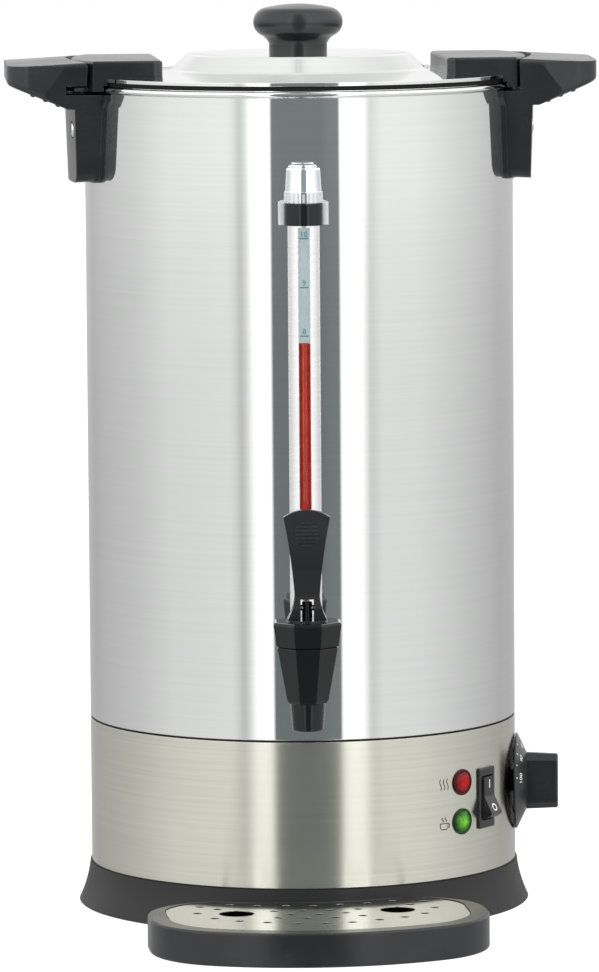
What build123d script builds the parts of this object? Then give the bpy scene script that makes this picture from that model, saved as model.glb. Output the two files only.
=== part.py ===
from build123d import *

import os
from math import asin, cos, degrees, radians, sin, tan

# Hot water urn, in millimetres.
# Origin: centre of the base on the table. +Z is up, -Y is the front with the tap,
# +X is the side nearest to the thermostat knob. Angles on the wall are counted from
# the front towards +X.

# ---- shell ----
body_radius = 113.0  # outside of the tank and of the base band
sheet = 0.8  # stainless steel sheet
seam_height = 100.0  # the tank's wall ends here, over the base band
seam_gap = 0.9  # open line between the wall and the band
skirt_depth = 12.0  # the tank's rolled-in skirt reaches this far into the band
floor_height = 108.0  # upper side of the tank's floor
rim_height = 435.3  # top of the rolled rim
bead_radius = 1.65  # the rolled rim's wire radius
bead_reach = 1.4  # the rim stands out past the wall by this
hole_slack = 0.2  # radial slack of a fixing hole

# ---- base ----
ring_top = 22.0
ring_bottom = 0.3  # the rubber feet reach the last bit to the table
ring_flare = 6.8  # the ring's foot stands out past the body by this
ring_lip = 0.8  # thin lip round the band
ring_edge = 0.4  # small chamfer on the ring's lower rim
ring_wall = 3.0
ring_foot_width = 18.5  # the inward flange that carries the feet
band_bottom = 17.0  # the band stands on the ring's shoulder here
band_flange = 14.0
foot_circle_radius = 110.0
foot_radius = 7.0
foot_thickness = 1.9  # most of it sunk in the ring's flange
foot_stem_length = 5.0
foot_count = 4
base_screw_circle_radius = 105.0
base_screw_radius = 2.0
base_screw_head = 3.8
base_screw_head_height = 2.4
base_nut_height = 3.2
base_nut_across = 7.0
plate_slot_length = 22.0
plate_slot_width = 4.0
plate_slot_count = 18

# ---- heater under the tank's floor ----
heater_radius = 74.0
heater_thickness = 4.0
element_ring = 52.0  # radius of the element's loop
element_tube = 3.3
element_sunk = 1.0  # how deep the tube is brazed into the plate
element_sweep = 320.0  # degrees of the loop
cold_end_radius = 3.6
cold_end_length = 17.0
bulb_radius = 3.0
bulb_length = 60.0
bulb_distance = 20.0  # distance of the bulb from the urn's axis
capillary_radius = 0.9

# ---- controls on the band ----
lamp_angle = 46.2
lamp_heights = (72.6, 51.9)  # red, then green
lamp_radius = 6.9
lamp_rim = 1.0
lamp_dome = 0.8
lamp_seat_depth = 1.2
lamp_body_radius = 5.6
lamp_body_depth = 16.0
rocker_angle = 56.8
rocker_height = 62.1
bezel_width = 15.0
bezel_length = 32.0
bezel_thickness = 1.3
switch_body_width = 12.6
switch_body_length = 28.6
switch_body_depth = 18.0
rocker_width = 10.0
rocker_length = 23.0
rocker_tilt = 14.0  # each way from level
rocker_crown = 3.6  # middle of the rocker's face in front of its pivot
rocker_gap = 0.3
knob_angle = 85.0
knob_height = 63.2
knob_gap = 0.4  # between the band and the skirt's edge
knob_skirt_radius = 25.5
knob_skirt_edge = 0.8
knob_skirt_wall = 1.6
knob_cone_depth = 5.2
knob_cone_radius = 14.7
knob_bar_height = 30.1
knob_bar_width = 11.0
knob_bar_length = 16.5
knob_bar_taper = 2.5
knob_bar_chamfer = 3.6
shaft_radius = 3.0
shaft_play = 0.06  # running clearance of shafts, pins and the reset button
bush_radius = 4.9
thermostat_size = 34.0
thermostat_depth = 22.0
thermostat_plate = 1.2
thermostat_screw_pitch = 28.0
thermostat_screw_radius = 2.0

# ---- power inlet at the back ----
inlet_angle = 180.0
inlet_height = 60.0
inlet_flange = (50.0, 24.0)
inlet_flange_reach = 2.5
inlet_body = (27.0, 20.0)
inlet_body_depth = 21.0
inlet_socket = (24.2, 16.6)
inlet_socket_depth = 17.0
inlet_pin_pitch = 7.0
inlet_pin_rise = 2.0
inlet_pin = (2.0, 4.0)
inlet_pin_length = 14.0
inlet_screw_pitch = 40.0
inlet_screw_radius = 1.5

# ---- boil-dry cut-out and terminal block on the base plate ----
cutout_place = (-48.0, 28.0)
cutout_size = (32.0, 22.0, 22.0)
cutout_bush_radius = 5.0
button_radius = 3.2
button_reach = 6.0  # below the base plate
button_travel = 2.0
button_collar = 4.6
button_collar_height = 2.0
terminal_place = (8.0, 62.0)
terminal_size = (46.0, 18.0, 15.0)
terminal_ways = 3
terminal_well = 7.0

# ---- drip tray ----
tray_width = 174.3
tray_back = 114.0  # distance of its straight back edges from the notch's centre
tray_front = 220.0
tray_height = 17.7
tray_twist = 5.4  # the loose tray stands turned by this
tray_shift = -10.3  # and this far aside
tray_notch_radius = 123.6  # hollow in the back that goes round the base ring
tray_front_radius = 140.0
tray_rear_round = 38.0
tray_front_round = 48.0
tray_land = 9.7  # flat rim round the grate
tray_back_land = 1.6
tray_floor = 2.0
tray_ledge = 2.5  # the grate rests on this
grate_thickness = 1.2
grate_gap = 0.35
grate_hole_radius = 9.0
grate_hole_pitch = 83.0
grate_hole_distance = 152.2
drain_hole_radius = 2.2
# Small drain holes: distance from the tray's middle line, then how far each hole in
# that column stands in front of the two large holes.
drain_columns = (
    (0.0, (-17.5, 7.3, 34.3)),
    (7.2, (-4.7, 18.1)),
    (14.1, (-20.0, 5.0, 33.8)),
    (21.7, (-5.2, 15.0)),
    (28.7, (-22.0, 28.4)),
    (42.4, (-26.8, 22.3)),
    (49.8, (-15.6,)),
    (54.0, (12.6,)),
    (58.0, (-24.0,)),
    (61.3, (-4.4,)),
)

# ---- tap and sight gauge ----
tap_distance = 150.0  # of the tap's upright axis from the urn's axis
tap_height = 143.0  # height of the tap's level bore
seam_rise = 11.5  # the body ends and the bonnet begins this far over the bore
shoulder_drop = 18.4
tap_across = 30.9  # across the flats at the seam
tap_taper = 10.1
bonnet_taper = 8.1
seam_chamfer = 0.6  # on both sides of the seam
bonnet_proud = 0.3  # the bonnet stands out over the body by this
spout_drop = 32.0
spout_radius = 9.0
spout_taper = 4.4
spout_bore = 5.0
valve_chamber = 9.4  # radius
valve_floor_drop = 13.0
valve_seat = 1.0  # height of the raised seat
valve_seat_radius = 6.4
bonnet_height = 12.8
bonnet_disc_radius = 10.3
bonnet_disc_height = 0.8
bonnet_plug = 7.5  # how deep the bonnet reaches into the body
spring_chamber = 7.5  # radius
bonnet_roof = 4.3
stem_radius = 2.6
stem_past_pin = 3.2
stem_collar_radius = 6.6
stem_collar_height = 2.0
stem_collar_above_cup = 2.0
cup_radius = 8.4
cup_height = 8.0
cup_socket = 5.0
spring_wire = 0.6
spring_coil = 5.2
spring_turns = 6
lever_gap = 0.3
lever_pin_radius = 1.5
lever_pin_rise = 5.6  # pin above the lever's foot
lever_foot = 6.5  # half depth of the foot
lever_slot = 6.8
lever_slot_rise = 4.8  # slot's end above the pin
lever_length = 56.3
lever_top_half = 11.9
lever_waist_half = 6.4
lever_foot_half = 10.0
lever_waist_rise = 12.5
lever_shoulder_drop = 3.9
ridge_count = 7
ridge_pitch = 1.9
ridge_height = 0.6
ridge_proud = 0.5
gauge_distance = 123.0  # of the gauge's axis from the urn's axis
tee_radius = 10.0
tee_washer = 1.7
tee_stub_radius = 7.5
tee_stub_end = 98.0
tee_bore = 4.5
tee_boss_rise = 12.0
tee_spigot = 4.0
nut_across = 22.0
nut_thickness = 6.0
washer_radius = 12.0
glass_radius = 4.0
glass_bore = 2.9
glass_foot_rise = 4.0
glass_socket = 5.4  # radius
level_height = 307.0
guard_radius = 8.2
guard_wall = 0.8
window_width = 6.0
window_margin = 24.0
clamp_bottom = 367.8
clamp_height = 11.3
strap_wall = 2.0
clamp_ear = 12.8
clamp_screw_pitch = 21.0
clamp_screw_radius = 1.5
cap_skirt_radius = 9.9
cap_skirt_height = 5.7
cap_radius = 9.3
cap_top_radius = 8.6
cap_height = 17.9
cap_button_radius = 6.65
cap_button_height = 1.5
cap_bore_depth = 4.5

# ---- handles: heights are counted from the tank's rim ----
handle_turn = 2.6  # both handles are fitted this far round from the tap's line
handle_rise = 14.0  # top of the handle's middle
handle_end_drop = 1.6  # the top falls this much towards its ends
handle_slope = 3.1  # degrees; top and foot fall this much outwards
handle_tip = 154.5
leg_length = 50.1  # from the rim down
leg_inside = 115.5  # radius of the leg's inner face
leg_face = 123.2  # outer face at the middle, under the grip
leg_draft = 2.0  # degrees
leg_face_radius = 300.0
hook_inside = 122.9  # radius of the hook's inner edge
groove_drop = 3.8  # groove's floor under the rim
groove_height = 4.9
groove_depth = 10.1  # from the hook's inner edge
groove_end = 24.0  # the groove stops here past the middle, on its closed side
grip_root_drop = 11.2
grip_tip_rise = 1.4
grip_half = 49.0
grip_tip_half = 45.0
leg_bottom_half = 42.7
grip_ridge_start = 128.0
grip_ridge_pitch = 6.5
grip_ridge_count = 3
grip_ridge_radius = 1.8
grip_ridge_proud = 0.7  # of the grip's underside
handle_screw_pitch = 70.0
handle_screw_drop = 22.2
handle_screw_radius = 2.5
handle_screw_head = 4.4
handle_screw_seat = 118.0
handle_screw_dome = 3.2
handle_nut_across = 8.0
handle_nut_flange = 6.0  # radius
backing_top_half = 50.5
backing_neck_half = 47.0
backing_neck_drop = 11.0
backing_bottom_half = 43.0
backing_gap = 0.5

# ---- lid ----
lid_gap = 4.5  # the flange's outer edge over the tank's rim
lid_edge = 1.8  # depth of the lid's turned edge
cone_foot_radius = 67.8
cone_foot_rise = 2.4  # over the flange's outer edge
plateau_radius = 57.0
plateau_rise = 10.9
plateau_dish = 2.5
lid_skirt_radius = 109.0
lid_skirt_length = 11.3  # below the rim
seal_gap = 0.3
lid_rest_turn = 1.3  # the lid rests this far past the handles' middle
lug_inside = 74.5
lug_half = 45.5
lug_outside = 120.0
lug_rise = 13.8  # over the rim
lug_drop = 2.0  # below the rim
lug_wall_inside = 114.9
lug_round = 5.0
lug_edge = 1.6
tongue_reach = 127.5  # radius of the tongue's edge
tongue_thickness = 1.8
tongue_start = 3.0  # degrees past the lug's middle
tongue_end = 19.0
lug_screw_distance = 92.0
lug_screw_half_pitch = 25.0
lug_screw_radius = 2.0
lug_screw_head = 3.8
lug_screw_head_height = 2.2
lug_screw_bite = 6.0
lid_knob_shaft = 15.3
lid_knob_head = 23.6
lid_knob_height = 28.3
lid_knob_waist = 7.3  # height of the stalk
lid_knob_rim = 18.3  # height of the widest edge
lid_knob_crown = 17.5  # radius where the dome begins
lid_knob_crown_drop = 2.0
lid_screw_radius = 2.5
lid_screw_head = 5.0
lid_screw_head_height = 3.0
lid_screw_bite = 14.0
lid_washer_radius = 9.0
lid_washer_thickness = 1.2

# ---- inner wiring ----
wire_radius = 1.1

wall_inside = body_radius - sheet
cut_margin = 6.0  # cutters reach this far past what they cut

# Heights that follow from the tap's bore, the gauge clamp and the tank's rim.
tap_seam = tap_height + seam_rise
tap_shoulder = tap_height - shoulder_drop
spout_end = tap_height - spout_drop
valve_floor = tap_height - valve_floor_drop
bonnet_top = tap_seam + bonnet_height
tee_boss_top = tap_height + tee_boss_rise
glass_foot = tap_height + glass_foot_rise
clamp_top = clamp_bottom + clamp_height
handle_top = rim_height + handle_rise
handle_end_top = handle_top - handle_end_drop
leg_bottom = rim_height - leg_length
groove_floor = rim_height - groove_drop
grip_root = rim_height - grip_root_drop
grip_tip_bottom = rim_height + grip_tip_rise
handle_screw_height = rim_height - handle_screw_drop
lid_edge_height = rim_height + lid_gap
cone_foot_height = lid_edge_height + cone_foot_rise
plateau_height = lid_edge_height + plateau_rise
lid_seat_height = plateau_height - plateau_dish
lid_skirt_bottom = rim_height - lid_skirt_length
lug_top = rim_height + lug_rise
lug_bottom = rim_height - lug_drop


def wall_plane(angle, height, radius):
    """Plane that stands on the wall: x along it to the right, y up, z outwards."""
    turn = radians(angle)
    return Plane(
        origin=(radius * sin(turn), -radius * cos(turn), height),
        x_dir=(cos(turn), sin(turn), 0),
        z_dir=(sin(turn), -cos(turn), 0),
    )


def axis_plane(angle, height):
    """Upright plane through the urn's axis: x outwards at the angle, y up."""
    turn = radians(angle)
    return Plane(
        origin=(0, 0, height),
        x_dir=(sin(turn), -cos(turn), 0),
        z_dir=(-cos(turn), -sin(turn), 0),
    )


def wall_axis(angle, height):
    """The line on which a knob or a lamp points out of the wall."""
    turn = radians(angle)
    return Axis((0, 0, height), (sin(turn), -cos(turn), 0))


def section_box(inner, outer, low, high, mode=Mode.ADD):
    """Rectangle in an upright section, from one radius to another."""
    with Locations((inner, low)):
        Rectangle(outer - inner, high - low, align=(Align.MIN, Align.MIN), mode=mode)


def trim_to_wall(radius, height):
    """Cut away what lies inside a round wall, so a flat piece seats on it."""
    with Locations((0, 0, height)):
        Cylinder(radius, 2 * radius, mode=Mode.SUBTRACT)


os.makedirs("parts", exist_ok=True)

# ==== shell ====

# Tank: one polished steel shell with a welded floor, a rolled rim and a skirt that
# is rolled in by one sheet and stands inside the base band.
clamp_screw_height = (clamp_bottom + clamp_top) / 2
bead_line = body_radius + bead_reach - bead_radius
with BuildPart() as tank:
    with BuildSketch(Plane.XZ):
        section_box(0, body_radius - sheet / 2, floor_height - sheet, floor_height)
        section_box(wall_inside, body_radius, seam_height, rim_height - bead_radius)
        section_box(wall_inside - sheet, body_radius, seam_height, seam_height + 2 * sheet)
        section_box(wall_inside - sheet, wall_inside, seam_height - skirt_depth, seam_height + sheet)
        with Locations((bead_line, rim_height - bead_radius)):
            Circle(bead_radius)
    revolve(axis=Axis.Z)
    with BuildSketch(Plane.XZ.offset(body_radius + cut_margin)):
        with Locations((0, tap_height)):
            Circle(tee_stub_radius + hole_slack)
        with Locations((0, clamp_screw_height)):
            with GridLocations(clamp_screw_pitch, 1, 2, 1):
                Circle(clamp_screw_radius + hole_slack)
    extrude(amount=-3 * cut_margin, mode=Mode.SUBTRACT)
    with BuildSketch(wall_plane(90 + handle_turn, handle_screw_height, -body_radius - cut_margin)):
        with GridLocations(handle_screw_pitch, 1, 2, 1):
            Circle(handle_screw_radius + hole_slack)
    extrude(amount=2 * (body_radius + cut_margin), mode=Mode.SUBTRACT)
tank.part.label = "tank"
export_step(tank.part, "parts/tank.step")

# Base band: satin steel hoop under the tank, with the openings for the controls.
with BuildPart() as base_band:
    with BuildSketch(Plane.XZ):
        section_box(wall_inside, body_radius, band_bottom, seam_height - seam_gap)
        section_box(body_radius - band_flange, body_radius, band_bottom, band_bottom + sheet)
    revolve(axis=Axis.Z)
    for height in lamp_heights:
        with BuildSketch(wall_plane(lamp_angle, height, body_radius + cut_margin)):
            Circle(lamp_body_radius + hole_slack)
        extrude(amount=-3 * cut_margin, mode=Mode.SUBTRACT)
    with BuildSketch(wall_plane(rocker_angle, rocker_height, body_radius + cut_margin)):
        Rectangle(switch_body_width + 2 * hole_slack, switch_body_length + 2 * hole_slack)
    extrude(amount=-3 * cut_margin, mode=Mode.SUBTRACT)
    with BuildSketch(wall_plane(knob_angle, knob_height, body_radius + cut_margin)):
        Circle(bush_radius + hole_slack)
        with GridLocations(1, thermostat_screw_pitch, 1, 2):
            Circle(thermostat_screw_radius + hole_slack)
    extrude(amount=-3 * cut_margin, mode=Mode.SUBTRACT)
    with BuildSketch(wall_plane(inlet_angle, inlet_height, body_radius + cut_margin)):
        Rectangle(inlet_body[0] + 2 * hole_slack, inlet_body[1] + 2 * hole_slack)
        with GridLocations(inlet_screw_pitch, 1, 2, 1):
            Circle(inlet_screw_radius + hole_slack)
    extrude(amount=-3 * cut_margin, mode=Mode.SUBTRACT)
    with PolarLocations(base_screw_circle_radius, foot_count):
        Cylinder(base_screw_radius + hole_slack, 4 * band_bottom, mode=Mode.SUBTRACT)
base_band.part.label = "base_band"
export_step(base_band.part, "parts/base_band.step")

# Base ring: black moulding that carries the band, flared out towards the table.
ring_outside = body_radius + ring_flare
ring_inside = ring_outside - ring_foot_width
web_bottom = band_bottom - ring_wall
foot_stem_radius = foot_radius / 2
driver_notch_radius = base_screw_head + 1  # lets the screw and its driver past the flange
with BuildPart() as base_ring:
    with BuildSketch(Plane.XZ):
        with BuildLine():
            flare = ThreePointArc(
                (body_radius + ring_lip, ring_top),
                (body_radius + ring_flare / 2, ring_bottom + 0.42 * (ring_top - ring_bottom)),
                (ring_outside, ring_bottom + ring_edge),
            )
            Polyline(
                flare @ 1,
                (ring_outside - ring_edge, ring_bottom),
                (ring_inside, ring_bottom),
                (ring_inside, ring_bottom + ring_wall),
                (ring_outside - 1.5 * ring_wall, ring_bottom + ring_wall),
                (body_radius + ring_lip - ring_wall, web_bottom),
                (body_radius - band_flange, web_bottom),
                (body_radius - band_flange, band_bottom),
                (body_radius, band_bottom),
                (body_radius, ring_top),
                flare @ 0,
            )
        make_face()
    revolve(axis=Axis.Z)
    with PolarLocations(foot_circle_radius, foot_count, start_angle=45):
        Cylinder(foot_stem_radius, 4 * ring_wall, mode=Mode.SUBTRACT)
        Cylinder(foot_radius, 2 * foot_thickness, mode=Mode.SUBTRACT)
    with PolarLocations(base_screw_circle_radius, foot_count):
        Cylinder(base_screw_radius + hole_slack, 4 * band_bottom, mode=Mode.SUBTRACT)
        Cylinder(driver_notch_radius, 4 * ring_wall, mode=Mode.SUBTRACT)
base_ring.part.label = "base_ring"
export_step(base_ring.part, "parts/base_ring.step")

# Rubber feet: a pad sunk in the ring's flange and a stem pressed through it, four alike.
with BuildPart() as rubber_feet:
    with PolarLocations(foot_circle_radius, foot_count, start_angle=45):
        Cylinder(foot_radius, foot_thickness, align=(Align.CENTER, Align.CENTER, Align.MIN))
        Cylinder(foot_stem_radius, foot_stem_length, align=(Align.CENTER, Align.CENTER, Align.MIN))
rubber_feet.part.label = "rubber_feet"
export_step(rubber_feet.part, "parts/rubber_feet.step")

# Base plate: sheet cover that closes the base from below, with air slots.
plate_top = web_bottom
plate_bottom = plate_top - sheet
plate_radius = body_radius + ring_lip - ring_wall - 2 * sheet
with BuildPart() as base_plate:
    with BuildSketch(Plane.XY.offset(plate_bottom)):
        Circle(plate_radius)
        with PolarLocations(base_screw_circle_radius, foot_count):
            Circle(base_screw_radius + hole_slack, mode=Mode.SUBTRACT)
        with PolarLocations(0.7 * plate_radius, plate_slot_count):
            SlotOverall(plate_slot_length, plate_slot_width, mode=Mode.SUBTRACT)
        with Locations(cutout_place):
            Circle(cutout_bush_radius + hole_slack, mode=Mode.SUBTRACT)
    extrude(amount=sheet)
base_plate.part.label = "base_plate"
export_step(base_plate.part, "parts/base_plate.step")

# Base screws and nuts: they clamp plate, ring and band flange together.
nut_seat = band_bottom + sheet
with BuildPart() as base_screws:
    with BuildSketch(Plane.XY.offset(plate_bottom - base_screw_head_height)):
        with PolarLocations(base_screw_circle_radius, foot_count):
            Circle(base_screw_head)
    extrude(amount=base_screw_head_height)
    with BuildSketch(Plane.XY.offset(plate_bottom)):
        with PolarLocations(base_screw_circle_radius, foot_count):
            Circle(base_screw_radius)
    extrude(amount=nut_seat + base_nut_height + 1 - plate_bottom)
    with BuildSketch(Plane.XY.offset(plate_bottom - base_screw_head_height)):
        with PolarLocations(base_screw_circle_radius, foot_count):
            Rectangle(1.2 * base_screw_head, 0.8)
            Rectangle(0.8, 1.2 * base_screw_head)
    extrude(amount=base_screw_head_height / 2, mode=Mode.SUBTRACT)
base_screws.part.label = "base_screws"
export_step(base_screws.part, "parts/base_screws.step")

with BuildPart() as base_nuts:
    with BuildSketch(Plane.XY.offset(nut_seat)):
        with PolarLocations(base_screw_circle_radius, foot_count):
            RegularPolygon(base_nut_across / 2, 6, major_radius=False)
            Circle(base_screw_radius, mode=Mode.SUBTRACT)
    extrude(amount=base_nut_height)
base_nuts.part.label = "base_nuts"
export_step(base_nuts.part, "parts/base_nuts.step")

# ==== heater ====

heater_top = floor_height - sheet
heater_bottom = heater_top - heater_thickness
element_height = heater_bottom - element_tube + element_sunk
element_half_gap = (360 - element_sweep) / 2
bulb_height = heater_bottom - bulb_radius + element_sunk

# Heater plate: aluminium disc under the tank's floor, grooved for the element.
with BuildPart() as heater_plate:
    with BuildSketch(Plane.XY.offset(heater_bottom)):
        Circle(heater_radius)
    extrude(amount=heater_thickness)
    with Locations((0, 0, element_height)):
        Torus(element_ring, element_tube, mode=Mode.SUBTRACT)
    with BuildSketch(Plane.YZ.offset(-bulb_length / 2)):
        with Locations((-bulb_distance, bulb_height)):
            Circle(bulb_radius)
    extrude(amount=bulb_length, mode=Mode.SUBTRACT)
heater_plate.part.label = "heater_plate"
export_step(heater_plate.part, "parts/heater_plate.step")

# Heating element: a tube loop with two cold ends that point down to the wiring.
with BuildPart() as heating_element:
    with BuildSketch(axis_plane(180 + element_half_gap, element_height)):
        with Locations((element_ring, 0)):
            Circle(element_tube)
    revolve(axis=Axis.Z, revolution_arc=element_sweep)
    with BuildSketch(Plane.XY.offset(heater_bottom)):
        for side in (-1, 1):
            turn = radians(90 + side * element_half_gap)
            with Locations((element_ring * cos(turn), element_ring * sin(turn))):
                Circle(cold_end_radius)
    extrude(amount=-cold_end_length)
    with BuildSketch(Plane.XY.offset(heater_bottom - cold_end_length)):
        for side in (-1, 1):
            turn = radians(90 + side * element_half_gap)
            with Locations((element_ring * cos(turn), element_ring * sin(turn))):
                Rectangle(sheet, 2 * element_tube - sheet)
    extrude(amount=-8)
heating_element.part.label = "heating_element"
export_step(heating_element.part, "parts/heating_element.step")

# ==== controls ====

# Pilot lamps: a domed lens on the band and a round body through it.
lamp_front = body_radius + lamp_rim
with BuildPart() as red_lamp:
    with BuildSketch(axis_plane(lamp_angle, lamp_heights[0])):
        with BuildLine():
            Polyline(
                (lamp_front + lamp_dome, 0),
                (body_radius - lamp_seat_depth, 0),
                (body_radius - lamp_seat_depth, lamp_radius),
                (lamp_front, lamp_radius),
            )
            Spline(
                (lamp_front, lamp_radius),
                (lamp_front + lamp_dome, 0),
                tangents=((0.6, -0.8), (0, -1)),
            )
        make_face()
    revolve(axis=wall_axis(lamp_angle, lamp_heights[0]))
    trim_to_wall(body_radius, lamp_heights[0])
    with BuildSketch(wall_plane(lamp_angle, lamp_heights[0], body_radius - lamp_body_depth)):
        Circle(lamp_body_radius)
    extrude(amount=lamp_body_depth + lamp_rim)
red_lamp.part.label = "red_lamp"
export_step(red_lamp.part, "parts/red_lamp.step")

with BuildPart() as green_lamp:
    with Locations((0, 0, lamp_heights[1] - lamp_heights[0])):
        add(red_lamp.part)
green_lamp.part.label = "green_lamp"
export_step(green_lamp.part, "parts/green_lamp.step")

# Lamp nuts: one ring behind the band on each lamp's body.
lamp_nut_radius = 1.5 * lamp_body_radius
lamp_nut_face = (wall_inside**2 - lamp_nut_radius**2) ** 0.5
with BuildPart() as lamp_nuts:
    for height in lamp_heights:
        with BuildSketch(wall_plane(lamp_angle, height, lamp_nut_face)):
            RegularPolygon(lamp_nut_radius, 6)
            Circle(lamp_body_radius, mode=Mode.SUBTRACT)
        extrude(amount=-3)
lamp_nuts.part.label = "lamp_nuts"
export_step(lamp_nuts.part, "parts/lamp_nuts.step")

# Rocker switch housing: a bezel on the band and a box behind it with the rocker's well.
rocker_pivot = body_radius - 1.0
rocker_end = rocker_length / 2
with BuildPart() as switch_housing:
    with BuildSketch(wall_plane(rocker_angle, rocker_height, body_radius - cut_margin)):
        Rectangle(bezel_width, bezel_length)
        fillet(vertices(), 0.8)
    extrude(amount=cut_margin + bezel_thickness)
    chamfer(faces().sort_by(wall_axis(rocker_angle, rocker_height))[-1].edges(), 0.5)
    trim_to_wall(body_radius, rocker_height)
    with BuildSketch(wall_plane(rocker_angle, rocker_height, body_radius - switch_body_depth)):
        Rectangle(switch_body_width, switch_body_length)
    extrude(amount=switch_body_depth + bezel_thickness / 2)
    well = rocker_end + rocker_gap
    with BuildSketch(wall_plane(rocker_angle, rocker_height, rocker_pivot - well)):
        Rectangle(rocker_width + 2 * rocker_gap, 2 * well)
    extrude(amount=well + 2 * cut_margin, mode=Mode.SUBTRACT)
    with BuildSketch(wall_plane(rocker_angle, rocker_height, body_radius - switch_body_depth)):
        with GridLocations(1, 8, 1, 3):
            Rectangle(4.8, 0.8)
    extrude(amount=-8)
switch_housing.part.label = "switch_housing"
export_step(switch_housing.part, "parts/switch_housing.step")

# Rocker: rounded ends about its pivot and a face that is bent in the middle.
with BuildPart() as rocker:
    with BuildSketch(axis_plane(rocker_angle, rocker_height)):
        with Locations(Location((rocker_pivot, 0), (0, 0, rocker_tilt))):
            Circle(rocker_end)
            slope = tan(radians(rocker_tilt))
            Polygon(
                (rocker_crown, 0),
                (rocker_crown + rocker_end * slope, rocker_end),
                (-rocker_end / 3, rocker_end),
                (-rocker_end / 1.6, rocker_end / 3),
                (-rocker_end / 1.6, -rocker_end / 3),
                (-rocker_end / 3, -rocker_end),
                (rocker_crown + rocker_end * slope, -rocker_end),
                align=None,
                mode=Mode.INTERSECT,
            )
    extrude(amount=rocker_width / 2, both=True)
rocker.part.label = "rocker"
export_step(rocker.part, "parts/rocker.step")

# Thermostat: a box behind the band on a sheet plate, with a bush for its shaft.
plate_half = thermostat_size / 2 - 1
thermostat_face = (wall_inside**2 - plate_half**2) ** 0.5
thermostat_front = thermostat_face - thermostat_plate
shaft_end = thermostat_front - thermostat_depth / 2
with BuildPart() as thermostat:
    with BuildSketch(wall_plane(knob_angle, knob_height, thermostat_front)):
        Rectangle(2 * plate_half, thermostat_screw_pitch + 5 * thermostat_screw_radius)
        with GridLocations(1, thermostat_screw_pitch, 1, 2):
            Circle(thermostat_screw_radius, mode=Mode.SUBTRACT)
    extrude(amount=thermostat_plate)
    with BuildSketch(wall_plane(knob_angle, knob_height, thermostat_front)):
        Rectangle(thermostat_size - 4, thermostat_screw_pitch - 3 * thermostat_screw_radius)
    extrude(amount=-thermostat_depth)
    with BuildSketch(wall_plane(knob_angle, knob_height, thermostat_face)):
        Circle(bush_radius)
    extrude(amount=body_radius + knob_gap / 2 - thermostat_face)
    with BuildSketch(wall_plane(knob_angle, knob_height, shaft_end - knob_gap)):
        Circle(shaft_radius + shaft_play)
    extrude(amount=thermostat_depth + body_radius, mode=Mode.SUBTRACT)
thermostat.part.label = "thermostat"
export_step(thermostat.part, "parts/thermostat.step")

# Thermostat screws: through the band into the thermostat's plate, under the knob.
with BuildPart() as thermostat_screws:
    with BuildSketch(wall_plane(knob_angle, knob_height, body_radius - knob_gap)):
        with GridLocations(1, thermostat_screw_pitch, 1, 2):
            Circle(1.8 * thermostat_screw_radius)
    extrude(amount=knob_gap + 1.8)
    trim_to_wall(body_radius, knob_height)
    with BuildSketch(wall_plane(knob_angle, knob_height, thermostat_front - 2)):
        with GridLocations(1, thermostat_screw_pitch, 1, 2):
            Circle(thermostat_screw_radius)
    extrude(amount=body_radius + 1 - thermostat_front + 2)
thermostat_screws.part.label = "thermostat_screws"
export_step(thermostat_screws.part, "parts/thermostat_screws.step")

# Thermostat knob: numbered skirt, hollow behind, with a bar grip.
skirt_back = body_radius + knob_gap
skirt_front = skirt_back + knob_skirt_edge
cone_front = skirt_front + knob_cone_depth
hollow_front = cone_front - 1.4 * knob_skirt_wall
knob_socket = cone_front + knob_bar_length / 2
with BuildPart() as thermostat_knob:
    with BuildSketch(axis_plane(knob_angle, knob_height)):
        Polygon(
            (skirt_back, knob_skirt_radius - knob_skirt_wall),
            (skirt_back, knob_skirt_radius),
            (skirt_front, knob_skirt_radius),
            (cone_front, knob_cone_radius),
            (cone_front, 0),
            (hollow_front, 0),
            (hollow_front, knob_cone_radius),
            align=None,
        )
        section_box(skirt_back, hollow_front, 0, 2 * shaft_radius)
    revolve(axis=wall_axis(knob_angle, knob_height))
    with BuildSketch(wall_plane(knob_angle, knob_height, cone_front)):
        Rectangle(knob_bar_width, knob_bar_height)
        chamfer(vertices(), knob_bar_chamfer)
    extrude(amount=knob_bar_length, taper=knob_bar_taper)
    chamfer(faces().sort_by(wall_axis(knob_angle, knob_height))[-1].edges(), 0.6)
    with BuildSketch(wall_plane(knob_angle, knob_height, skirt_back)):
        Circle(shaft_radius)
    extrude(amount=knob_socket - skirt_back, mode=Mode.SUBTRACT)
thermostat_knob.part.label = "thermostat_knob"
export_step(thermostat_knob.part, "parts/thermostat_knob.step")

with BuildPart() as thermostat_shaft:
    with BuildSketch(wall_plane(knob_angle, knob_height, shaft_end)):
        Circle(shaft_radius)
    extrude(amount=knob_socket - shaft_end)
thermostat_shaft.part.label = "thermostat_shaft"
export_step(thermostat_shaft.part, "parts/thermostat_shaft.step")

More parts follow.
